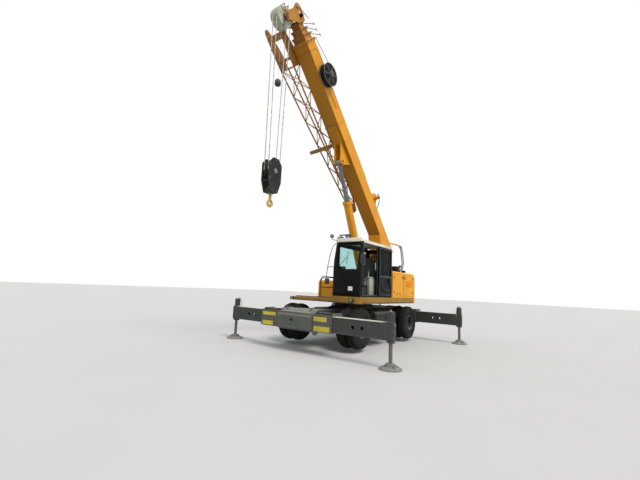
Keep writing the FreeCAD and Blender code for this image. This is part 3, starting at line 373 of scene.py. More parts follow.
class Piece:
    """Collects solids in one mesh; mat is the transform from local to the row frame."""

    def __init__(self, mat=None):
        self.bm = bmesh.new()
        self.mat = mat or Matrix.Identity(4)

    def hull(self, rings, caps=True):
        """Skins a list of closed rings of equal count."""
        vs = [[self.bm.verts.new(self.mat @ V(p)) for p in r] for r in rings]
        n = len(vs[0])
        for a, b in zip(vs, vs[1:]):
            for i in range(n):
                self.bm.faces.new((a[i], a[(i + 1) % n], b[(i + 1) % n], b[i]))
        if caps:
            self.bm.faces.new(vs[0][::-1])
            self.bm.faces.new(vs[-1])
        return vs

    def box(self, x0, x1, y0, y1, z0, z1):
        (x0, x1), (y0, y1), (z0, z1) = sorted((x0, x1)), sorted((y0, y1)), sorted((z0, z1))
        self.hull([[(x0, y0, z), (x1, y0, z), (x1, y1, z), (x0, y1, z)] for z in (z0, z1)])

    def soft_box(self, x0, x1, y0, y1, z0, z1, r, n=3):
        """Box with all its edges rounded by r."""
        (x0, x1), (y0, y1), (z0, z1) = sorted((x0, x1)), sorted((y0, y1)), sorted((z0, z1))
        rings = []
        steps = [pi / 2 * k / n for k in range(n + 1)]
        low = [(z0 + r - r * sin(a), r * cos(a)) for a in reversed(steps)]
        for z, q in low + [(z1 - r + r * sin(a), r * cos(a)) for a in steps]:
            ring, q = [], max(q, 1e-4)
            for cx, cy, turn in ((x1 - r, y1 - r, 0), (x0 + r, y1 - r, 1), (x0 + r, y0 + r, 2),
                    (x1 - r, y0 + r, 3)):
                ring += [(cx + q * cos(pi / 2 * turn + a), cy + q * sin(pi / 2 * turn + a), z)
                        for a in steps]
            rings.append(ring)
        self.hull(rings)

    def prism(self, pts, axis, a0, a1):
        """Outline pts along the axis x or y from a0 to a1."""
        self.hull([[(a, u, v) if axis == "x" else (u, a, v) for u, v in pts] for a in (a0, a1)])

    def axes(self, d):
        d = V(d).normalized()
        s = d.cross(V(UP)) if abs(d.z) < .9 else d.cross(V(LEFT))
        s.normalize()
        return d, s, d.cross(s)

    def tube(self, p, q, r, n=12):
        d, s, t = self.axes(V(q) - V(p))
        self.hull([[V(end) + s * (r * c) + t * (r * s_) for c, s_ in around(n)] for end in (p, q)])

    def lathe(self, p, d, prof, n=24, caps=True):
        """prof is pairs of (distance along d, radius)."""
        d, s, t = self.axes(d)
        self.hull([[V(p) + d * h + s * (r * c) + t * (r * s_) for c, s_ in around(n)] for h, r in prof],
                caps)

    def ring(self, p, d, prof, n=32):
        """Closed loop prof of (distance, radius) turned about d."""
        d, s, t = self.axes(d)
        vs = [[self.bm.verts.new(self.mat @ (V(p) + d * h + s * (r * c) + t * (r * s_))) for h, r in prof]
                for c, s_ in around(n)]
        m = len(prof)
        for i in range(n):
            a, b = vs[i], vs[(i + 1) % n]
            for k in range(m):
                self.bm.faces.new((a[k], b[k], b[(k + 1) % m], a[(k + 1) % m]))

    def torus(self, p, d, big, r, n, m=6):
        self.ring(p, d, [(r * c, big + r * s) for c, s in around(m)], n)

    def border(self, x, k, y0, y1, z0, z1, w, t):
        """Flat frame of width w on the plane at x, raised by t towards k."""
        for a, b, c, e in ((y0, y1, z0, z0 + w), (y0, y1, z1 - w, z1),
                (y0, y0 + w, z0 + w, z1 - w), (y1 - w, y1, z0 + w, z1 - w)):
            self.box(x, x + k * t, a, b, c, e)

    def bolts(self, centre, d, big, n, start, r, h):
        """A circle of n bolts about the axis d, which is along x or z."""
        x, y, z = centre
        for c, s in around(n, start):
            at = (x, y + big * c, z + big * s) if d[0] else (x + big * c, y + big * s, z)
            self.bolt(at, d, r, h)

    def bolt(self, p, d, r=.014, h=.012):
        d = V(d).normalized()
        self.lathe(p, d, [(0, r * 1.35), (h * .22, r * 1.35)], 12)
        self.lathe(V(p) + d * h * .22, d, [(0, r), (h * .75, r), (h, r * .8)], 6)

    def pipe(self, pts, r, n=8, steps=6, caps=True):
        """Smooth bent pipe through pts."""
        P = [V(p) for p in pts]
        P = [P[0] * 2 - P[1]] + P + [P[-1] * 2 - P[-2]]
        line = []
        for i in range(1, len(P) - 2):
            for k in range(steps):
                t = k / steps
                a, b, c, e = P[i - 1], P[i], P[i + 1], P[i + 2]
                line.append(.5 * (2 * b + (c - a) * t + (2 * a - 5 * b + 4 * c - e) * t * t
                        + (3 * b - a - 3 * c + e) * t ** 3))
        line.append(P[-2])
        _, s, _ = self.axes(line[1] - line[0])
        rings = []
        for i, c in enumerate(line):
            d = (line[min(i + 1, len(line) - 1)] - line[max(i - 1, 0)]).normalized()
            s = (s - d * s.dot(d)).normalized()
            t = d.cross(s)
            rings.append([c + s * (r * co) + t * (r * si) for co, si in around(n)])
        self.hull(rings, caps)

    def done(self, name, body, mat, smooth=35, replaces=(), across=None):
        """Makes the object; when across is given the object is left on no body with its transform baked in,
        and across's second body and two ends are not used.
        """
        bmesh.ops.recalc_face_normals(self.bm, faces=self.bm.faces)
        me = bpy.data.meshes.new(name)
        self.bm.to_mesh(me)
        self.bm.free()
        o = bpy.data.objects.new(name, me)
        bpy.context.scene.collection.objects.link(o)
        me.materials.append(M[mat])
        for f in me.polygons:
            f.use_smooth = smooth > 0
        if smooth:
            me.set_sharp_from_angle(angle=radians(smooth))
        if across:
            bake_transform(o)
        else:
            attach(o, body)
        if replaces:
            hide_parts(*replaces)
        return o


# Tyres and wheels
WHEEL_Z, TYRE_R = .632, .551
SIDEWALL = ((-.09, .262), (-.104, .268), (-.108, .282), (-.113, .3), (-.114, .318), (-.119, .345),
        (-.1215, .38),
        (-.1225, .415), (-.12, .45), (-.1215, .458), (-.1195, .466), (-.115, .49), (-.109, .512),
        (-.098, .526), (-.076, .533), (-.052, .535), (-.048, .528), (-.04, .528), (-.036, .536), (0, .537))
TREAD_ROWS = ((-.112, -.05, 1), (.05, .112, 1), (-.034, .034, -1))
LUGS = 34
for end, y in AXLES:
    for side, sx in SIDES:
        tag, wheel = "%s_%s" % (end, side), "wheel_%s_%s" % (end, side)
        P = Piece()
        for xc in (.895, 1.205):
            prof = list(SIDEWALL) + [(-a, r) for a, r in SIDEWALL[-2::-1]]
            P.ring((sx * xc, y, WHEEL_Z), LEFT, [(a, r) for a, r in prof] + [(.085, .257), (-.085, .257)],
                    60)
            for row, (x0, x1, skew) in enumerate(TREAD_ROWS):
                for i in range(LUGS):
                    a = 2 * pi * (i + (0, .5, .25)[row]) / LUGS
                    w = .058 if row < 2 else .07
                    rings = []
                    for r, g in ((.52, 1.0), (TYRE_R - .0006, .86)):
                        q = []
                        for x, t in ((x0, -1), (x1, -1), (x1, 1), (x0, 1)):
                            outer = row < 2 and abs(x) > .1
                            xx = x * .955 if outer and r > .53 else x
                            rr = r - .022 if outer else r
                            ang = a + (t * w * g / 2 + skew * x * .28) / r
                            q.append((sx * xc + xx, y + rr * sin(ang), WHEEL_Z + rr * cos(ang)))
                        rings.append(q)
                    P.hull(rings)
        P.done("tyres_" + tag, wheel, "tyre", 40, replaces=["twin_tyres_" + tag])
        R = Piece()
        d = (sx, 0, 0)
        for x in (.785, 1.315):
            k = 1 if x > 1 else -1
            R.ring((sx * (x - .006 * k), y, WHEEL_Z), (sx * k, 0, 0),
                    [(-.014, .245), (0, .245), (.004, .252), (.004, .264), (-.003, .27), (-.014, .266)], 48)
        R.ring((sx * 1.05, y, WHEEL_Z), d, [(.0, .236), (.012, .234), (.05, .238), (.05, .239), (0, .239)],
                48)
        R.lathe((sx * 1.16, y, WHEEL_Z), d,
                [(0, .092), (.012, .09), (.016, .074), (.04, .07), (.052, .058), (.056, .03)], 28)
        R.done("rim_lips_" + tag, wheel, "rim", 40)
        B = Piece()
        for n, start, x, big, r, h in ((10, .2, 1.054, .12272, .013, .026), (8, 0, 1.16, .081, .006, .012)):
            for c, s in around(n, start):
                B.bolt((sx * x, y + big * s, WHEEL_Z + big * c), d, r, h)
        B.tube((sx * 1.2, y + .228, WHEEL_Z), (sx * 1.255, y + .216, WHEEL_Z), .005, 8)
        B.done("wheel_nuts_" + tag, wheel, "bolt", 30)

# Outrigger beams, jacks and feet
for tag, sx, y in BEAMS:
    f = -1 if y < 0 else 1
    jx, beam = sx * JACK_X, "outrigger_" + tag
    P = Piece()
    for z in (.626, .984):                          # weld runs under the flanges
        for k in (-1, 1):
            P.tube((sx * 1.215, y + k * .0955, z), (sx * 2.6, y + k * .0955, z), .0045, 6)
    for yy in (-.0925, .0925):
        P.tube((sx * 2.612, y + yy, .63), (sx * 2.612, y + yy, .98), .005, 6)
    P.prism([(sx * 2.775, .64), (sx * 2.79, .65), (sx * 2.79, .96), (sx * 2.775, .97)], "y", y - .06,
            y + .06)
    P.ring((jx, y, 1.19), UP, [(0, .0825), (.01, .0875), (.02, .0875), (.026, .0825)], 28)
    for x in (1.78, 2.03):                            # rims of the two holes
        P.ring((sx * x, y + f * .095, .805), (0, f, 0), [(0, .05), (.004, .05), (.004, .058), (0, .06)], 24)
    P.done("beam_trim_" + tag, beam, "beam", 40)
    W = Piece()                                       # pale strips on the top flange and its edge: painted highlight where the flange catches the light, partly dust
    W.box(sx * 1.21, sx * 2.6, y - .08, y + .08, .9995, 1.00015)
    W.box(sx * 1.21, sx * 2.56, y + f * .0952, y + f * .0962, .985, .9995)
    W.done("beam_dust_and_highlight_" + tag, beam, "cream", 0)
    H = Piece()
    H.tube((jx, y, 1.228), (jx, y, 1.262), .014, 8)
    H.pipe([(jx, y, 1.255), (sx * 2.67, y - f * .03, 1.262), (sx * 2.645, y - f * .08, 1.2),
            (sx * 2.635, y - f * .108, 1.08), (sx * 2.635, y - f * .108, .94),
            (sx * 2.635, y - f * .09, .9)], .009, 8, 5)
    H.box(sx * 2.62, sx * 2.65, y - f * .095, y - f * .12, .975, .995)
    H.done("jack_pipe_" + tag, beam, "zinc", 40)
    K = Piece()
    for c, s in around(8, .39):
        K.bolt((jx + .0905 * c, y + .0905 * s, .58), (c, s, 0), .007, .01)
    K.bolts((jx, y, 1.2275), UP, .06, 6, .2, .007, .01)
    for z in (.66, .8, .94):
        for yy in (-.035, .035):
            K.bolt((sx * 2.79, y + yy, z), (sx, 0, 0), .009, .012)
    K.done("beam_bolts_" + tag, beam, "bolt", 30)
    F = Piece()
    F.ring((jx, y, .0), UP, [(.022, .24), (.032, .247), (.02, .2498), (.004, .2498), (.001, .242)], 40)
    for c, s in around(6, pi / 6):
        F.hull([[(jx + c * r - s * t, y + s * r + c * t, z)
                for r, z in ((.098, .062), (.225, .03), (.225, .034), (.098, .12))] for t in (-.005, .005)])
    F.ring((jx, y, .106), UP, [(0, .0995), (.003, .104), (.013, .104), (.016, .0995)], 32)
    F.done("foot_ribs_" + tag, "jack_" + tag, "jack", 40)
    K = Piece()
    for c, s in around(4, .75):
        K.bolt((jx + .15 * c, y + .15 * s, .053), (.15 * c, .15 * s, 1), .01, .014)
    K.done("foot_bolts_" + tag, "jack_" + tag, "bolt", 30)

# Outrigger boxes: striped wings, covers and lines
for k, yn in ((1, "front"), (-1, "rear")):
    # k = 1 at the front; the rear box is the same one turned half round
    def Q(x, y, z):
        return (k * x, k * y, z)
    P = Piece()
    for x0, x1, z0, z1 in ((.64, 1.045, .85, .962), (.655, 1.143, .605, .735), (-1.165, -.68, .872, .962),
            (-1.165, -.752, .61, .722)):
        P.box(k * x0, k * x1, -k * 2.984, -k * 2.9855, z0, z1)
        rib = .77 if x0 > 0 else -.79               # over the rib that crosses the stripe
        P.box(k * (rib - .001), k * (rib + .031), -k * 2.984, -k * 2.9995, z0, z1)
    P.done("wing_stripes_" + yn, "chassis", "yellow", 0)
    C = Piece()
    for x0, x1 in ((.64, 1.16), (-1.16, -.6)):
        a, b = sorted((k * x0, k * x1))
        C.soft_box(a, b, *sorted((-k * 2.94, -k * 2.54)), 1.0235, 1.052, .01, 2)
        for x in (a + .05, b - .05):
            for y in (2.6, 2.88):
                C.bolt((x, -k * y, 1.052), UP, .012, .014)
    C.done("wing_covers_" + yn, "chassis", "black", 35)
    T = Piece()
    for x in (-.5, .54):
        T.tube(Q(x, -2.95, 1.02), Q(x, -2.76, 1.118), .006, 6)
    for y, z in ((-3.012, .965), (-3.04, .628)):
        T.tube(Q(-.56, y, z), Q(.6, y, z), .006, 6)
    for x in (-.4, .42):
        T.ring(Q(x, -2.8, 1.11), LEFT, [(-.012, .03), (.012, .03), (.012, .046), (-.012, .046)], 16)
    for x in (-1.19, -.775, .785, 1.19):
        for z in (.6, 1.012):
            T.bolt(Q(x, -2.999, z), (0, -k, 0), .01, .01)
    T.done("box_trim_" + yn, "chassis", "slate", 35)
    H = Piece()
    for i in range(4):
        x = -.24 + .05 * i
        H.pipe([Q(x, -2.3, 1.1), Q(x, -2.46, 1.125), Q(x - .02, -2.56, 1.122),
                Q(x - .1 + .01 * i, -2.62, 1.115)], .01, 8, 5)
        H.lathe(Q(x, -2.44, 1.1215), (0, -k, 0), [(0, .015), (.03, .015)], 6)
    H.done("box_hoses_" + yn, "chassis", "hose", 40)

# Chassis: tanks, lines, axle ends and the ring's bolts
P = Piece()
P.bolts((0, 0, 1.1402), UP, .628, 40, 0, .009, .014)
for sx in (-1, 1):
    for _, y in AXLES:
        P.lathe((sx * .5, y - .2, .632), AHEAD, [(0, .03), (.02, .075), (.1, .08), (.125, .06)], 20)
        P.bolt((sx * .3, y + .11, .7), BACK, .014, .016)
P.done("chassis_bolts", "chassis", "bolt", 30)
T = Piece()
for c, s in around(90):                               # teeth of the slewing ring
    T.hull([[(c * r - s * t, s * r + c * t, z)
            for r, t in ((.617, -.013), (.64, -.008), (.64, .008), (.617, .013))] for z in (1.152, 1.215)])
T.done("ring_teeth", "chassis", "iron", 0)
T = Piece()
for sx in (-1, 1):
    T.lathe((sx * .5, 1.02, .745), BACK, [(0, .02), (.015, .07), (.035, .09), (.33, .09), (.35, .07),
            (.365, .02)], 24)
    for y in (1.12, 1.28):
        T.ring((sx * .5, y, .745), BACK, [(0, .09), (.024, .09), (.024, .094), (0, .094)], 24)
        T.box(sx * .41, sx * .425, y, y + .024, .72, .86)
T.done("air_tanks", "chassis", "chassis", 40)
H = Piece()
for sx in (-1, 1):
    for i in range(3):
        z = .86 + .05 * i
        for run in ((-2.4, -1.2, -.66), (.66, 1.2, 2.4)):
            H.pipe([(sx * .43, y, z) for y in run], .008, 8, 3)
    for y in (-2.2, -1.6, -1.0, 1.0, 1.6, 2.2):
        H.box(sx * .42, sx * .442, y - .015, y + .015, .845, .975)
H.done("frame_lines", "chassis", "zinc", 40)
T = Piece()                                           # locker doors' frames, latches, hinges
for sx in (-1, 1):
    for y0 in (-.61, .02):
        x = sx * 1.1925
        T.border(x, sx, y0 + .02, y0 + .57, .672, .948, .008, .004)
        T.soft_box(x - sx * .004, x + sx * .022, y0 + .25, y0 + .34, .885, .915, .006, 2)
        for yy in (y0 + .1, y0 + .49):
            T.tube((x, yy - .03, .664), (x, yy + .03, .664), .011, 10)
T.done("locker_trim", "chassis", "plastic", 35)

# Slewing platform, housings and counterweight
P = Piece()
P.box(1.2702, 1.2722, -1.6, 2.08, 1.293, 1.33)      # pale band along the deck's foot
P.box(-1.2722, -1.2702, -1.6, 2.08, 1.293, 1.33)
P.box(-1.08, 1.08, -1.8022, -1.8002, 1.293, 1.318)
P.done("deck_band", UPPER, "cab_grey", 0)
P = Piece()
x0, x1, y0, y1, n, m = -1.2, -.4, -1.46, -.32, 16, 22
P.box(x0, x1, y0, y1, 1.3902, 1.3942)
for i in range(n):                                    # raised lozenges of the tread plate
    for j in range(m):
        x = x0 + .03 + (x1 - x0 - .06) * i / (n - 1)
        y = y0 + .03 + (y1 - y0 - .06) * j / (m - 1)
        a = radians(45 if (i + j) % 2 else -45)
        u, v = (cos(a) * .016, sin(a) * .016), (-sin(a) * .0045, cos(a) * .0045)
        P.hull([[(x + u[0] * k + v[0] * t, y + u[1] * k + v[1] * t, z) for k,
                t in ((1, 0), (0, 1), (-1, 0), (0, -1))] for z in (1.394, 1.397)])
P.done("tread_plate", UPPER, "iron", 0)
P = Piece()                                           # hood: door seams, plugs, latches, louvres
x = 1.2702
for y0, y1, z0, z1 in ((.34, 1.17, 1.53, 2.26), (1.21, 2.06, 1.53, 2.26)):
    P.border(x, 1, y0, y1, z0, z1, .006, .0012)
for y in (.649, .89):
    P.lathe((x, y, 1.6), LEFT, [(0, .03), (.006, .03), (.009, .024)], 20)
for y in (1.1, 1.28):
    P.soft_box(x, x + .016, y - .02, y + .02, 2.1, 2.2, .006, 2)
for y in (.42, 1.96):
    for z in (1.66, 2.14):
        P.tube((x + .004, y, z - .035), (x + .004, y, z + .035), .01, 10)
P.done("hood_seams", UPPER, "seal", 35)
P = Piece()
for i in range(11):
    y = 1.4 + .05 * i
    P.hull([[(x, y, z), (x + .018, y + .01, z), (x + .018, y + .014, z), (x, y + .034, z)]
            for z in (1.86, 2.05)])
P.done("hood_louvres", UPPER, "orange", 0)
P = Piece()
for i in range(14):                                   # air grille on the hood's top
    P.box(.5, 1.08, .46 + .045 * i, .48 + .045 * i, 2.3402, 2.352)
P.box(.48, 1.1, .43, .445, 2.3402, 2.356)
P.box(.48, 1.1, 1.095, 1.11, 2.3402, 2.356)
P.box(.48, .495, .43, 1.11, 2.3402, 2.356)
P.box(1.085, 1.1, .43, 1.11, 2.3402, 2.356)
P.done("hood_grille", UPPER, "plastic", 0)
P = Piece()
P.ring((.82, 1.78, 2.47), UP, [(-.002, .036), (.0, .036), (.0, .046), (-.03, .048), (-.03, .045)], 24)
P.pipe([(.82, 1.78, 2.46), (.82, 1.79, 2.53), (.82, 1.84, 2.585), (.82, 1.9, 2.61)], .04, 20, 6)
P.lathe((.56, 1.96, 2.435), UP, [(0, .105), (.01, .108), (.03, .1), (.04, .06), (.042, .01)], 28)
P.bolts((.56, 1.96, 2.44), UP, .094, 8, 0, .005, .008)
P.done("exhaust_trim", UPPER, "iron", 35)
P = Piece()                                           # right housing: doors, latches, caps, rail
x = -1.2702
for y0, y1 in ((-.22, .7), (.74, 1.4), (1.44, 2.06)):
    P.border(x, -1, y0, y1, 1.45, 1.88, .006, .0012)
    P.soft_box(x - .016, x, (y0 + y1) / 2 - .05, (y0 + y1) / 2 + .05, 1.8, 1.84, .006, 2)
    for yy in (y0 + .1, y1 - .1):
        P.tube((x - .004, yy - .035, 1.452), (x - .004, yy + .035, 1.452), .01, 10)
for px, py, r in ((-.7, .1, .055), (-1.02, .55, .04)):
    P.lathe((px, py, 1.9602), UP, [(0, r * 1.3), (.012, r * 1.3), (.014, r), (.045, r), (.052, r * .85)],
            20)
P.done("tank_trim", UPPER, "seal", 35)
P = Piece()
R_ = .016                                             # black hand rails at the right housing
P.pipe([(-.44, -.32, 1.392), (-.44, -.32, 1.6), (-.44, -.32, 1.9), (-.48, -.33, 2.02), (-.6, -.33, 2.04),
        (-.95, -.33, 2.04), (-1.1, -.33, 2.02), (-1.16, -.32, 1.92), (-1.16, -.32, 1.62),
        (-1.16, -.32, 1.392)], R_, 10, 6)
P.pipe([(-1.2, -.2, 1.962), (-1.2, -.19, 2.05), (-1.2, -.1, 2.1), (-1.2, .4, 2.1), (-1.2, .9, 2.1),
        (-1.2, 1.0, 2.05), (-1.2, 1.01, 1.962)], R_ * .8, 10, 6)
P.tube((-.44, -.32, 1.72), (-1.16, -.32, 1.72), R_ * .8, 10)
for px, py, pz in ((-.44, -.32, 1.3902), (-1.16, -.32, 1.3902), (-1.2, -.2, 1.9602), (-1.2, 1.01, 1.9602)):
    P.lathe((px, py, pz), UP, [(0, .034), (.006, .034)], 16)
P.done("hand_rails", UPPER, "black", 40)
P = Piece()                                           # tail: lamps, grille, lifting eyes
Y0 = 2.5502
for sx in (-1, 1):
    P.soft_box(sx * .62, sx * .8, Y0 - .002, Y0 + .01, 1.42, 1.5, .004, 2)
for i in range(16):
    P.box(-.36, .36, Y0, Y0 + .006, 1.6 + .022 * i, 1.612 + .022 * i)
for a, b, c, e in ((-.38, .38, 1.585, 1.597), (-.38, .38, 1.952, 1.964), (-.38, -.368, 1.59, 1.96),
        (.368, .38, 1.59, 1.96)):
    P.box(a, b, Y0, Y0 + .01, c, e)
P.done("tail_trim", UPPER, "plastic", 30)
for name, mat, x in (("tail_lamps", "red", .63), ("tail_flashers", "amber", .72)):
    P = Piece()
    for sx in (-1, 1):
        P.soft_box(sx * x, sx * (x + .07), Y0 + .008, Y0 + .02, 1.43, 1.49, .005, 2)
    P.done(name, UPPER, mat, 30)
P = Piece()
for sx in (-1, 1):
    P.ring((sx * .8, 2.33, 2.28), LEFT, [(-.014, .034), (.014, .034), (.014, .062), (-.014, .062)], 24)
    P.box(sx * .8 - .014, sx * .8 + .014, 2.27, 2.39, 2.2502, 2.262)
    for z in (1.4, 1.75, 2.1):
        P.bolt((sx * .52, Y0, z), BACK, .022, .02)
P.done("counterweight_eyes", UPPER, "orange", 35)
P = Piece()                                           # boom support: pin ends, keeper plates, lines
for sx in (-1, 1):
    P.lathe((sx * .345, 1.72, 2.86), (sx, 0, 0), [(0, .06), (.004, .072), (.016, .072), (.02, .05)], 28)
    P.soft_box(sx * .329, sx * .341, 1.66, 1.78, 2.755, 2.79, .004, 2)
    for y in (1.68, 1.76):
        P.bolt((sx * .341, y, 2.772), (sx, 0, 0), .01, .012)
    P.lathe((sx * .17, .724, 1.738), (sx, 0, 0), [(0, .05), (.004, .062), (.014, .062), (.016, .045)], 24)
P.done("pin_caps", UPPER, "bolt", 35)
P = Piece()
for i, x in enumerate((-.06, 0, .06)):
    P.pipe([(x, -.62, 1.5), (x, -.45, 1.56), (x, -.2, 1.5), (x, .1, 1.43), (x, .45, 1.43)], .012, 8, 6)
    P.lathe((x, -.62, 1.5), AHEAD, [(-.03, .017), (.02, .017)], 6)
P.done("slew_lines", UPPER, "hose", 40)
P = Piece()
P.bolts((0, -.76, 1.4502), UP, .127, 8, 0, .009, .014)
P.bolts((0, -.76, 1.6802), UP, .088, 8, 0, .006, .01)
P.done("slew_motor_bolts", UPPER, "bolt", 30)
P = Piece()                                           # front edge: lamp lenses
for x, z in ((1.02, 1.383), (-1.13, 1.338)):
    P.lathe((x, -1.8432, z), AHEAD, [(0, .034), (.006, .033), (.011, .024), (.013, .008)], 24)
P.done("headlamp_lenses", UPPER, "lens", 50)
P = Piece()
for x, z0 in ((.37, 3.112), (.64, 3.14)):
    P.soft_box(x + .012, x + .138, -1.6285, -1.6252, z0 + .012, z0 + .084, .0015, 1)
P.done("work_lamp_lenses", UPPER, "lens", 50)

# Cab: frames, seals, wiper, mirrors, rails, and the controls inside
CX0, CX1, CY0, CY1, CTOP = .35, 1.25, -1.8, .25, 3.05
P = Piece()                                           # pale window and door frames on the left side
x = CX1 + .0002
P.border(x, 1, -1.625, -.735, 1.52, 2.99, .024, .005)
P.done("door_frame", UPPER, "cab_grey", 0)
P = Piece()                                           # pale band over the screen, gutters, blank plate
P.soft_box(.38, 1.22, -1.705, -1.625, 3.04, 3.15, .014, 3)
for x in (.342, 1.25):
    P.soft_box(x, x + .012, -1.6, .18, 3.012, 3.046, .004, 2)
P.box(.895, 1.04, -1.8022, -1.8002, 1.645, 1.76)
P.done("cab_bands", UPPER, "cream", 35)
P = Piece()                                           # flat light bar on the roof
P.soft_box(.4, .77, -1.6, -1.53, 3.25, 3.278, .01, 2)
for x in (.445, .725):
    P.box(x - .01, x + .01, -1.575, -1.555, 3.2, 3.255)
P.lathe((.33, -1.9, 3.197), BACK, [(0, .05), (.008, .058), (.05, .055), (.085, .035), (.092, .01)], 24)
P.pipe([(.33, -1.86, 3.15), (.335, -1.84, 3.11), (.37, -1.74, 3.095), (.42, -1.64, 3.09)], .01, 8, 6)
P.done("roof_lamps", UPPER, "plastic", 35)
P = Piece()
P.lathe((.33, -1.9002, 3.197), AHEAD, [(0, .048), (.005, .044), (.009, .028), (.01, .006)], 24)
P.done("round_lens", UPPER, "lens", 50)
P = Piece()
P.border(1.3002, 1, -.69, .15, 1.545, 2.97, .022, .006)
P.box(1.3002, 1.3062, -.668, .128, 2.085, 2.125)
P.done("door_leaf_frame", "cab_door", "cab_grey", 0)
P = Piece()
P.border(1.2862, 1, -.652, .112, 2.138, 2.932, .016, .012)
P.done("door_seal", "cab_door", "seal", 0)
P = Piece()
P.pipe([(1.297, -.6, 2.04), (1.318, -.585, 2.00), (1.33, -.56, 1.86), (1.33, -.5, 1.76), (1.33, -.34, 1.71),
        (1.33, -.1, 1.69), (1.318, .03, 1.69), (1.297, .06, 1.69)], .012, 10, 6)
P.done("door_strap", "cab_door", "cab_grey", 40)
P = Piece()
for z in (1.7, 2.7):
    P.lathe((1.281, -.72, z + .12), UP, [(0, .019), (.006, .021), (.012, .012)], 16)
P.soft_box(1.3002, 1.322, -.02, .075, 1.88, 2.1, .008, 2)
P.soft_box(1.322, 1.34, .000, .03, 1.9, 2.06, .007, 2)
P.done("door_latch", "cab_door", "plastic", 35)
P = Piece()                                           # screen seal, wiper, lower rail
S0, S1 = V((0, -1.783, 2.235)), V((0, -1.638, 2.95))
for x in (.425, 1.175):
    P.tube(S0 + V((x, -.003, 0)), S1 + V((x, -.003, 0)), .011, 8)
for q in (S0, S1):
    P.tube(q + V((.425, -.003, 0)), q + V((1.175, -.003, 0)), .011, 8)
P.pipe([(.56, -1.806, 2.2), (.56, -1.806, 2.26), (.64, -1.793, 2.4), (.8, -1.757, 2.58)], .007, 8, 5)
P.tube((.8, -1.762, 2.4), (.8, -1.693, 2.76), .006, 6)
P.box(.797, .803, -1.772, -1.766, 2.39, 2.41)
P.lathe((.56, -1.8, 2.195), AHEAD, [(0, .022), (.02, .022), (.026, .014)], 16)
P.done("screen_trim", UPPER, "seal", 40)
P = Piece()                                           # mirrors on thin rods
P.pipe([(.4, -1.66, 3.04), (.3, -1.7, 2.95), (.27, -1.78, 2.78), (.27, -1.87, 2.52), (.27, -1.945, 2.26),
        (.27, -1.97, 2.02), (.262, -1.9, 1.94)], .01, 8, 6)
P.pipe([(.352, -1.74, 2.3), (.31, -1.84, 2.31), (.27, -1.93, 2.28)], .009, 8, 5)
P.pipe([(1.248, -1.72, 2.96), (1.35, -1.82, 2.97), (1.4, -1.86, 2.9), (1.4, -1.86, 2.62)], .01, 8, 6)
for x, z0, z1 in ((.262, 1.8, 1.96), (1.4, 2.38, 2.66)):
    y = -1.9 if x < 1 else -1.86
    P.soft_box(x - .075, x + .075, y - .045, y - .008, z0, z1, .016, 3)
P.done("mirrors", UPPER, "plastic", 40)
P = Piece()
for x, z0, z1, y in ((.262, 1.8, 1.96, -1.9), (1.4, 2.38, 2.66, -1.86)):
    P.box(x - .062, x + .062, y - .0078, y - .006, z0 + .014, z1 - .014)
P.done("mirror_glass", UPPER, "chrome", 0)
P = Piece()                                           # cab side: grab rail, vent, right seals
P.pipe([(1.252, -1.66, 1.78), (1.3, -1.66, 1.8), (1.31, -1.66, 1.95), (1.31, -1.66, 2.45),
        (1.3, -1.66, 2.6), (1.252, -1.66, 2.62)], .013, 10, 6)
P.border(CX1 + .0002, 1, -.615, .165, 2.135, 2.945, .018, .006)
P.border(CX0 - .0002, -1, -1.515, .165, 2.135, 2.945, .018, .006)
for z in (1.62, 1.7, 1.78):
    P.box(CX0 - .004, CX0 - .0002, -1.2, -.4, z, z + .03)
P.done("cab_trim", UPPER, "seal", 40)
P = Piece()                                           # steering column, wheel, pedals, dash
P.tube((.8, -1.6, 1.56), (.8, -1.42, 2.12), .03, 12)
P.lathe((.8, -1.425, 2.1), (0, .3, .95), [(0, .05), (.03, .045), (.05, .02)], 16)
c, d = V((.8, -1.405, 2.165)), V((0, .3, .95))
P.torus(c, d, .185, .013, 36, 8)
_, s_, t_ = P.axes(d)
for co, si in around(3, .5):
    P.tube(c, c + s_ * (.18 * co) + t_ * (.18 * si), .01, 8)
for x in (.66, .94):
    P.hull([[(x - .05, -1.52, z), (x + .05, -1.52, z), (x + .05, -1.34, z - .05),
            (x - .05, -1.34, z - .05)] for z in (1.62, 1.635)])
for x in (.525, 1.075):
    P.lathe((x, -.96, 2.225), UP, [(0, .014), (.02, .024), (.06, .026), (.085, .018), (.09, .005)], 16)
P.soft_box(.44, .62, -1.6, -1.5, 2.12, 2.34, .02, 3)
P.done("cab_controls", UPPER, "plastic", 45)
P = Piece()
P.box(.42, 1.18, -1.6, .18, 1.5202, 1.532)
P.done("cab_mat", UPPER, "hose", 0)
P = Piece()                                           # hoses behind the cab, valve box and caps on the hood
for i in range(4):
    x, o = .62 + .1 * i, .03 * i
    P.pipe([(x, .262, 1.9 + o), (x, .275, 2.2), (x, .285, 2.62 + o), (x - .03, .34, 2.9 + o),
            (x - .12, .46, 2.98 + o),
            (x - .24, .6, 2.9 + o), (x - .32, .68, 2.7), (x - .33, .7, 2.5), (x - .3, .72, 2.36)], .016, 10,
            6)
for x, y, w, h in ((.9, 1.3, .1, .22), (.62, 1.48, .07, .16), (1.02, 1.74, .06, .1)):
    P.soft_box(x - w, x + w, y - w, y + w, 2.338, 2.338 + h, .02, 3)
for o in (0, .05):
    P.pipe([(.9 - o, 1.77, 3.3), (.9 - o, 1.87, 3.2), (.9 - o, 2.00, 2.82 - o), (.9 - o, 1.96, 2.58),
            (.9 - o, 1.84, 2.4), (.9 - o, 1.82, 2.34)], .016, 10, 6)
P.done("cab_pipes", UPPER, "hose", 40)
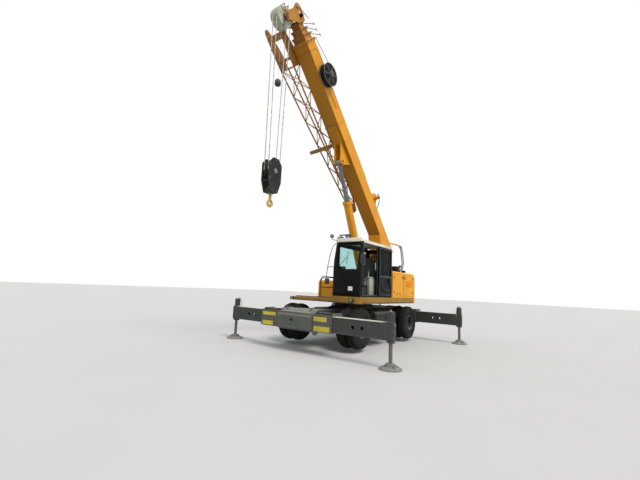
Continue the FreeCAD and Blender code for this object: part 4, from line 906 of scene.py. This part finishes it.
# rail from the hood up behind the cab, holding the hoses
P = Piece()
P.pipe([(.9, .42, 2.34), (.9, .42, 2.8), (.9, .46, 3.16), (.9, .73, 3.297), (.9, 1.19, 3.332),
        (.9, 1.79, 3.325)], .024, 12, 6)
P.box(.83, .93, 1.74, 1.79, 3.29, 3.345)
P.lathe((.9, .42, 2.3402), UP, [(0, .06), (.01, .06), (.014, .045)], 16)
P.done("hose_rail", UPPER, "orange", 40)


# Boom: welds, patches, wear-pad adjusters, reel, lines and the winch's rope
def seam(P, u0, u1, x, n, r=.006):
    P.tube((x, -u0, n), (x, -u1, n), r, 6)


P = Piece(BOOM)
for x in (-HALF_W + .004, HALF_W - .004):
    seam(P, -.27, 7.54, x, BELLY + .003, .007)
    seam(P, -.27, 7.54, x, TOP - .003, .007)
P.soft_box(HALF_W - .001, HALF_W + .01, -6.02, -5.6, .6, .74, .004, 2)
P.soft_box(HALF_W + .009, HALF_W + .016, -5.96, -5.66, .62, .72, .003, 2)
for u in (.9, 3.0, 5.9):
    P.soft_box(-HALF_W - .01, -HALF_W + .001, -u - .16, -u + .16, .56, .7, .004, 2)
P.done("boom_welds", "boom", "boom", 35)
# Each collar: its body, place along the boom, half width, belly and top
COLLARS = (("base", "boom", 7.605, .262, .361, .855), ("two", "section_2", 7.78, .22, .403, .813),
        ("three", "section_3", 7.94, .184, .439, .777), ("four", "head", 8.1, .148, .475, .741))
for tag, body, u, hw, n0, n1 in COLLARS:
    A = Piece(BOOM)
    for n in (n0 + .07, (n0 + n1) / 2, n1 - .07):
        for k in (-1, 1):
            A.soft_box(k * (hw - .001), k * (hw + .012), -u - .028, -u + .028, n - .03, n + .03, .003, 2)
            A.lathe((k * (hw + .012), -u, n), (k, 0, 0), [(0, .017), (.014, .017)], 6)
        A.tube((hw, -u, n), (hw + .085, -u, n), .0085, 8)
    for x in (-.6 * hw, -.24 * hw, .24 * hw, .6 * hw):
        A.tube((x, -u, n1), (x, -u, n1 + .13), .0095, 8)
        A.lathe((x, -u, n1 + .002), UP, [(0, .02), (.018, .02)], 6)
    for x in (-.5 * hw, 0, .5 * hw):
        A.lathe((x, -u, n0), DOWN, [(0, .018), (.016, .018)], 6)
    A.done("pad_adjusters_" + tag, body, "bolt", 35)
# bent rods on the left of the collars that guide the cable: (u, n) from foot to loop
for tag, body, x, path in (("two", "section_2", .222, ((7.78, .7), (7.745, .745), (7.628, 1.165))),
        ("three", "section_3", .186, ((7.94, .69), (7.905, .735), (7.79, 1.127))),
        ("four", "head", .15, ((8.1, .66), (8.045, .71), (7.952, 1.172)))):
    A = Piece(BOOM)
    (u0, n0), (u1, n1), (u2, n2) = path
    A.pipe([(x, -u0, n0), (x + .035, -u1, n1), (x + .038, -(u1 + u2) / 2, (n1 + n2) / 2),
            (x + .038, -u2, n2)], .011, 8, 6)
    A.torus((x + .038, -u2, n2 + .03), LEFT, .028, .009, 16)
    A.done("cable_guide_" + tag, body, "jack", 40)
P = Piece(BOOM)                                       # cable drum: cable turns, hub, frame
RU, RN = 6.56, .648
for k in range(9):
    P.torus((.298 + .0165 * k, -RU, RN), LEFT, .287, .0082, 48)
P.done("reel_cable", "boom", "hose", 50)
P = Piece(BOOM)
for x in (.252 + .028, .252 + .188):
    P.ring((x + .006, -RU, RN), LEFT, [(-.01, .318), (.01, .318), (.014, .33), (.01, .3375), (-.01, .3375),
            (-.014, .33)], 48)
SPOKE = ((.1, -.022), (.31, -.012), (.31, .012), (.1, .022))
for c, s in around(6):
    P.hull([blade(x, -RU, RN, c, s, SPOKE) for x in (.4525, .46)])
P.lathe((.51, -RU, RN), LEFT, [(-.058, .095), (.0, .092), (.012, .075), (.014, .02)], 28)
P.done("reel_frame", "boom", "slate", 35)
P = Piece(BOOM)
P.bolts((.522, -RU, RN), LEFT, .06, 6, .5, .008, .01)
for y, z in ((.16, -.1), (-.16, -.1), (.16, .1), (-.16, .1)):
    P.bolt((.2643, -RU + y, .608 + z), LEFT, .012, .014)
P.done("reel_bolts", "boom", "bolt", 30)
P = Piece(BOOM)                                       # cable to the head, clipped along the boom's side
P.pipe([(.36, -RU - .02, RN + .289), (.35, -7.0, .9), (.3, -7.35, .885), (.285, -7.62, .88)], .008, 8, 6)
for x in (-.1, -.05):
    P.tube((x, .22, TOP + .016), (x, -4.3, TOP + .016), .013, 10)
for u in (.4, 1.2, 2.6, 3.4, 4.2):
    P.box(-.125, -.025, -u - .015, -u + .015, TOP, TOP + .032)
P.done("boom_lines", "boom", "hose", 40)
P = Piece(BOOM)
P.pipe([(.285, -8.1, .88), (.24, -8.2, .86), (.205, -8.34, .8), (.2, -8.44, .7)], .008, 8, 5)
P.soft_box(.199, .255, -8.3, -8.2, .6, .7, .008, 2)
P.done("head_cable", "head", "hose", 40)

WU, WN = 2.08, 1.023
P = Piece(BOOM)                                       # rope on the drum and along the boom's top
for lay, (r, cnt, off) in enumerate(((.131, 13, 0), (.15, 12, .0115))):
    for k in range(cnt):
        P.torus((-.138 + off + .023 * k, -WU, WN), LEFT, r, .0112, 40)
P.tube((.03, -WU, WN + .161), (0, -7.6, .9), .011, 10)
P.done("hoist_rope", "boom", "rope", 50)
P = Piece(BOOM)
P.tube((.0, -8.00, .885), (.0, -8.46, .66 + .028), .011, 10)
P.done("hoist_rope_head", "head", "rope", 50)
P = Piece(BOOM)
for x in (-.188, .188):
    k = 1 if x > 0 else -1
    for u, n in ((WU - .22, .9), (WU + .22, .9), (WU - .1, 1.14), (WU + .1, 1.14)):
        P.bolt((x, -u, n), (k, 0, 0), .011, .012)
P.bolts((.247, -WU, WN), LEFT, .078, 8, 0, .008, .01)
for sx in (-1, 1):
    for y in (-.25, .25):
        P.bolt((sx * .15, -WU + y, TOP + .024), UP, .014, .014)
P.done("winch_bolts", "boom", "bolt", 30)
P = Piece(BOOM)
P.lathe((.367, -WU, WN), LEFT, [(0, .056), (.01, .052), (.016, .03)], 20)
P.pipe([(.31, -WU - .05, WN + .055), (.33, -WU - .1, WN + .09), (.3, -WU + .2, WN + .02),
        (.15, -WU + .42, .9), (-.05, -WU + .55, .862)], .011, 8, 6)
P.pipe([(.31, -WU + .05, WN + .055), (.31, -WU + .12, WN + .08), (.27, -WU + .28, WN - .02),
        (.1, -WU + .46, .9), (-.1, -WU + .58, .862)], .011, 8, 6)
P.done("winch_lines", "boom", "hose", 40)

# Head: axle ends, guards, sheave faces
P = Piece(BOOM)
for sx in (-1, 1):
    P.lathe((sx * .212, -HEAD_U, HEAD_N), (sx, 0, 0), [(0, .05), (.01, .05), (.014, .036)], 24)
    P.bolts((sx * .198, -HEAD_U, HEAD_N), (sx, 0, 0), .078, 6, 0, .008, .01)
    P.lathe((sx * .21, -8.47, .628), (sx, 0, 0), [(0, .032), (.012, .03), (.016, .016)], 20)
    for u, n in ((8.16, .42), (8.16, .55), (8.16, .72), (8.25, .8)):
        P.bolt((sx * .198, -u, n), (sx, 0, 0), .013, .014)
P.done("head_bolts", "head", "bolt", 35)
P = Piece(BOOM)
RIB = ((.105, -.016), (.235, -.011), (.235, .011), (.105, .016))
for x in (-.144, -.072, 0, .072):
    for k in (-1, 1):
        P.ring((x + k * .0302, -HEAD_U, HEAD_N), (k, 0, 0), [(0, .085), (.003, .085), (.004, .095), (.004,
                .1), (0, .108)], 36)
        P.ring((x + k * .0302, -HEAD_U, HEAD_N), (k, 0, 0),
                [(0, .232), (.003, .236), (.003, .262), (0, .266)], 48)
        for c, s in around(5):
            P.hull([blade(x + k * h, -HEAD_U, HEAD_N, c, s, RIB) for h in (.0302, .034)])
P.done("sheave_faces", "head", "polyamide", 35)
P = Piece(BOOM)                                       # bars that keep the rope in the grooves
GUARD_R, GUARD = .287, ((.05, -.018), (.3, -.014), (.3, .014), (.05, .018))
for a in (10, 42, 74):                                # clear of the falls at every boom angle
    c, s = -sin(radians(a)), cos(radians(a))
    y, z = -HEAD_U + GUARD_R * c, HEAD_N + GUARD_R * s
    P.tube((-.19, y, z), (.19, y, z), .01, 10)
    for sx in (-1, 1):
        P.hull([blade(sx * x, -HEAD_U, HEAD_N, c, s, GUARD) for x in (.1784, .19)])
P.done("rope_guards", "head", "jib", 35)

# Rope hanger: socket pin, wedge, switch weight on its thin wire
P = Piece()
P.lathe((.146, HEAD_Y, HEAD_Z), LEFT, [(0, .04), (.006, .052), (.014, .05), (.018, .02)], 24)
P.box(.116, .14, HEAD_Y - .028, HEAD_Y + .028, HEAD_Z - .445, HEAD_Z - .4)
P.done("socket_trim", "rope_hanger", "bolt", 35)
WX, WY, WZ = .25, HEAD_Y - .24, 6.63               # switch weight, clear of the block's way up
P = Piece()
P.tube((WX, WY, WZ + .18), (WX, WY, HEAD_Z - .02), .003, 6)
P.done("switch_wire", "rope_hanger", "rope", 50)
P = Piece()
P.pipe([(.236, HEAD_Y, HEAD_Z), (.248, HEAD_Y - .06, HEAD_Z), (WX, WY, HEAD_Z - .02)], .01, 8, 4)
P.lathe((WX, WY, WZ), UP, [(0, .03), (.01, .066), (.03, .078), (.12, .078), (.15, .06), (.165, .02),
        (.19, .012)], 28)
P.done("switch_weight", "rope_hanger", "plastic", 45)

# Hoist rope's four falls, built in place of the part's rope_falls
(FX0, FY0, FZ0), (FX1, FY1, FZ1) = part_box("rope_falls")
FALL_R = (FX1 - FX0 - .144) / 2
FALL_LO, FALL_HI, FALL_STEPS, FALL_SIDES = .1893, .2593, 40, 12
P = Piece()
for sx in (1, -1):
    for k in (1, -1):
        low, high = V((sx * .072, HEAD_Y + k * FALL_LO, FZ0)), V((sx * .072, HEAD_Y + k * FALL_HI, FZ1))
        P.hull([[low.lerp(high, t / FALL_STEPS) + FALL_R * V((c, s, 0)) for c, s in around(FALL_SIDES)]
                for t in range(FALL_STEPS + 1)])
P.done("falls", "rope_hanger", "rope", 50, replaces=("rope_falls",),
        across=("hook_block", (0, HEAD_Y, FZ1), (0, HEAD_Y, FZ0)))

# Operator's seat: crowned cushions with a seam line, on a pedestal between two consoles
SEAT_X, SEAT_TILT = .8, radians(7)
P = Piece()
P.soft_box(SEAT_X - .205, SEAT_X + .205, -.97, -.5, 1.795, 1.9, .048, 5)
P.soft_box(SEAT_X - .13, SEAT_X + .13, -.93, -.54, 1.87, 1.912, .02, 4)
P.mat = Matrix.Translation((SEAT_X, -.47, 2.16)) @ Matrix.Rotation(-SEAT_TILT, 4, "X")
P.soft_box(-.2, .2, -.045, .05, -.345, .345, .045, 5)
P.soft_box(-.125, .125, -.06, -.02, -.29, .25, .019, 4)
P.soft_box(-.12, .12, -.035, .035, .35, .52, .034, 5)
o = P.done("seat_cushions", UPPER, "seat", 60, replaces=("operator_seat",))
P = Piece()
P.soft_box(SEAT_X - .16, SEAT_X + .16, -.89, -.52, 1.525, 1.79, .03, 3)
for x in (.525, 1.075):
    P.soft_box(x - .055, x + .055, -.96, -.6, 1.525, 2.03, .022, 3)
    P.soft_box(x - .04, x + .04, -1.000, -.62, 2.034, 2.075, .018, 3)
    P.tube((x, -.96, 2.07), (x, -.96, 2.24), .012, 12)
P.box(.58, 1.02, -.78, -.68, 1.65, 1.7)
P.done("seat_consoles", UPPER, "trim", 45)

# Luffing cylinder: gland, ports, pipes
BL = 3.13
P = Piece(LUFF)
for c, s in around(12):
    P.bolt((.118 * c, -BL, .118 * s), AHEAD, .01, .014)
for x in (-1, 1):
    P.lathe((x * .157, 0, 0), (x, 0, 0), [(-.02, .06), (0, .06)], 24)
P.done("gland_bolts", "luff_barrel", "bolt", 30)
P = Piece(LUFF)
for u, a, b, inner, outer in ((.3, -.02, .02, .133, .141), (1.5, -.025, .025, .133, .14),
        (BL - .045, -.045, .04, .134, .15)):
    P.ring((0, -u, 0), BACK, [(a, inner), (b, inner), (b, outer), (a, outer)], 36)
P.lathe((.0, -.42, .13), UP, [(0, .04), (.03, .04), (.034, .03)], 20)
P.lathe((.0, -BL + .05, .145), UP, [(0, .03), (.028, .03)], 20)
P.soft_box(-.06, .06, -.62, -.48, .13, .205, .012, 2)
P.done("barrel_trim", "luff_barrel", "boom", 35)
P = Piece(LUFF)
P.pipe([(.0, -BL + .05, .165), (.0, -BL + .1, .19), (.02, -BL + .3, .172), (.03, -2.2, .166),
        (.03, -1.2, .166), (.02, -.8, .17), (.02, -.62, .172)], .015, 10, 6)
P.pipe([(.04, -.5, .2), (.08, -.4, .23), (.1, -.25, .2), (.115, -.1, .165)], .016, 10, 6)
for u in (1.0, 1.7, 2.4):
    P.box(.0, .06, -u - .015, -u + .015, .128, .186)
P.done("barrel_pipe", "luff_barrel", "zinc", 40)

# Hook block and hook
P = Piece()
ZS = 4.51
for sx in (-1, 1):
    P.lathe((sx * .135, HEAD_Y, ZS), (sx, 0, 0), [(-.004, .06), (.01, .06), (.014, .046)], 28)
    for y, z in ((-.17, 4.29), (.17, 4.29), (-.17, 4.66), (.17, 4.66), (0, 4.78), (-.075, 4.01),
            (.075, 4.01)):
        P.bolt((sx * .1302, HEAD_Y + y, z), (sx, 0, 0), .012, .014)
P.lathe((0, HEAD_Y, 3.958), DOWN, [(0, .062), (.006, .064), (.03, .06), (.034, .04)], 28)
P.done("block_bolts", "hook_block", "bolt", 35)
P = Piece()
for x in (-.072, .072):
    for k in (-1, 1):
        P.ring((x + k * .0302, HEAD_Y, ZS), (k, 0, 0), [(0, .17), (.004, .174), (.004, .19), (0, .193)], 40)
for y, z in ((-.205, 4.66), (.205, 4.66), (-.185, 4.24), (.185, 4.24)):
    P.tube((-.114, HEAD_Y + y, z), (.114, HEAD_Y + y, z), .011, 10)
P.done("block_rods", "hook_block", "iron", 35)

# Stowed jib: flanges and pin ends on its root fork
P = Piece(BOOM)
for x in (-.33, -.82):
    for u, n in ((7.25, .22), (7.25, .5), (7.6, .22), (8.26, .275)):
        for k in (-1, 1):
            P.bolt((x + k * .0112 if u < 8 else x + k * .0302, -u, n), (k, 0, 0), .013, .014)
P.done("jib_bolts", "boom", "bolt", 30)
P = Piece(BOOM)                                       # flanged arm from the belly out past the stowed jib
ARM_U = 4.58
for x0, n0, n1, tip in ((-.137, .345, .3, .095), (-.25, .215, .17, .06)):
    P.prism([(x0, n0), (x0, n1), (-.76, tip + .04), (-.98, tip), (-.98, tip + .014), (-.76, tip + .07)],
            "y", -ARM_U - .055, -ARM_U + .055)
for y in (.043, -.055):
    P.prism([(-.25, .32), (-.25, .18), (-.98, .062), (-.98, .108)], "y", -ARM_U + y, -ARM_U + y + .012)
P.done("jib_arm", "boom", "jib", 30)

# Floor, world and lamps
me = bpy.data.meshes.new("floor")
me.from_pydata([(-90, -90, 0), (90, -90, 0), (90, 90, 0), (-90, 90, 0)], [], [(0, 1, 2, 3)])
floor = bpy.data.objects.new("floor", me)
bpy.context.scene.collection.objects.link(floor)
m, nt, b = shader("floor_paint")
p = coords(nt)
put(nt, b, Base_Color=mix(nt, noise(nt, p, .35, 6), (.56, .555, .54), (.62, .615, .6)), Roughness=.9,
        Normal=bump(nt, noise(nt, p, 60, 4), .1, .002))
me.materials.append(m)

world = bpy.data.worlds.new("world")
bpy.context.scene.world = world
world.use_nodes = True
nt = world.node_tree
nt.nodes.clear()
out = nt.nodes.new("ShaderNodeOutputWorld")
lp = nt.nodes.new("ShaderNodeLightPath")
sky = nt.nodes.new("ShaderNodeBackground")
sky.inputs[0].default_value = (.93, .96, 1.0, 1)
sky.inputs[1].default_value = .62
white = nt.nodes.new("ShaderNodeBackground")
white.inputs[0].default_value = (1, 1, 1, 1)
white.inputs[1].default_value = 1.0
see = node(nt, "Math", {0: node(nt, "Math",
        {0: lp.outputs["Is Camera Ray"], 1: lp.outputs["Is Glossy Ray"]},
        operation="MAXIMUM"), 1: lp.outputs["Is Transmission Ray"]}, operation="MAXIMUM")
mixer = nt.nodes.new("ShaderNodeMixShader")
nt.links.new(see, mixer.inputs[0])
nt.links.new(sky.outputs[0], mixer.inputs[1])
nt.links.new(white.outputs[0], mixer.inputs[2])
nt.links.new(mixer.outputs[0], out.inputs[0])


def sun(name, az, el, power, size, col=(1, 1, 1)):
    d = bpy.data.lights.new(name, "SUN")
    d.energy, d.angle, d.color = power, radians(size), col
    o = bpy.data.objects.new(name, d)
    a, e = radians(az), radians(el)
    o.rotation_euler = V((cos(e) * sin(a), -cos(e) * cos(a), sin(e))).to_track_quat("Z", "Y").to_euler()
    bpy.context.scene.collection.objects.link(o)


sun("key", 75, 52, 2.15, 25, (1, .98, .95))
sun("fill", -30, 35, .35, 60, (.95, .98, 1))

bpy.context.scene.view_settings.view_transform = "Standard"
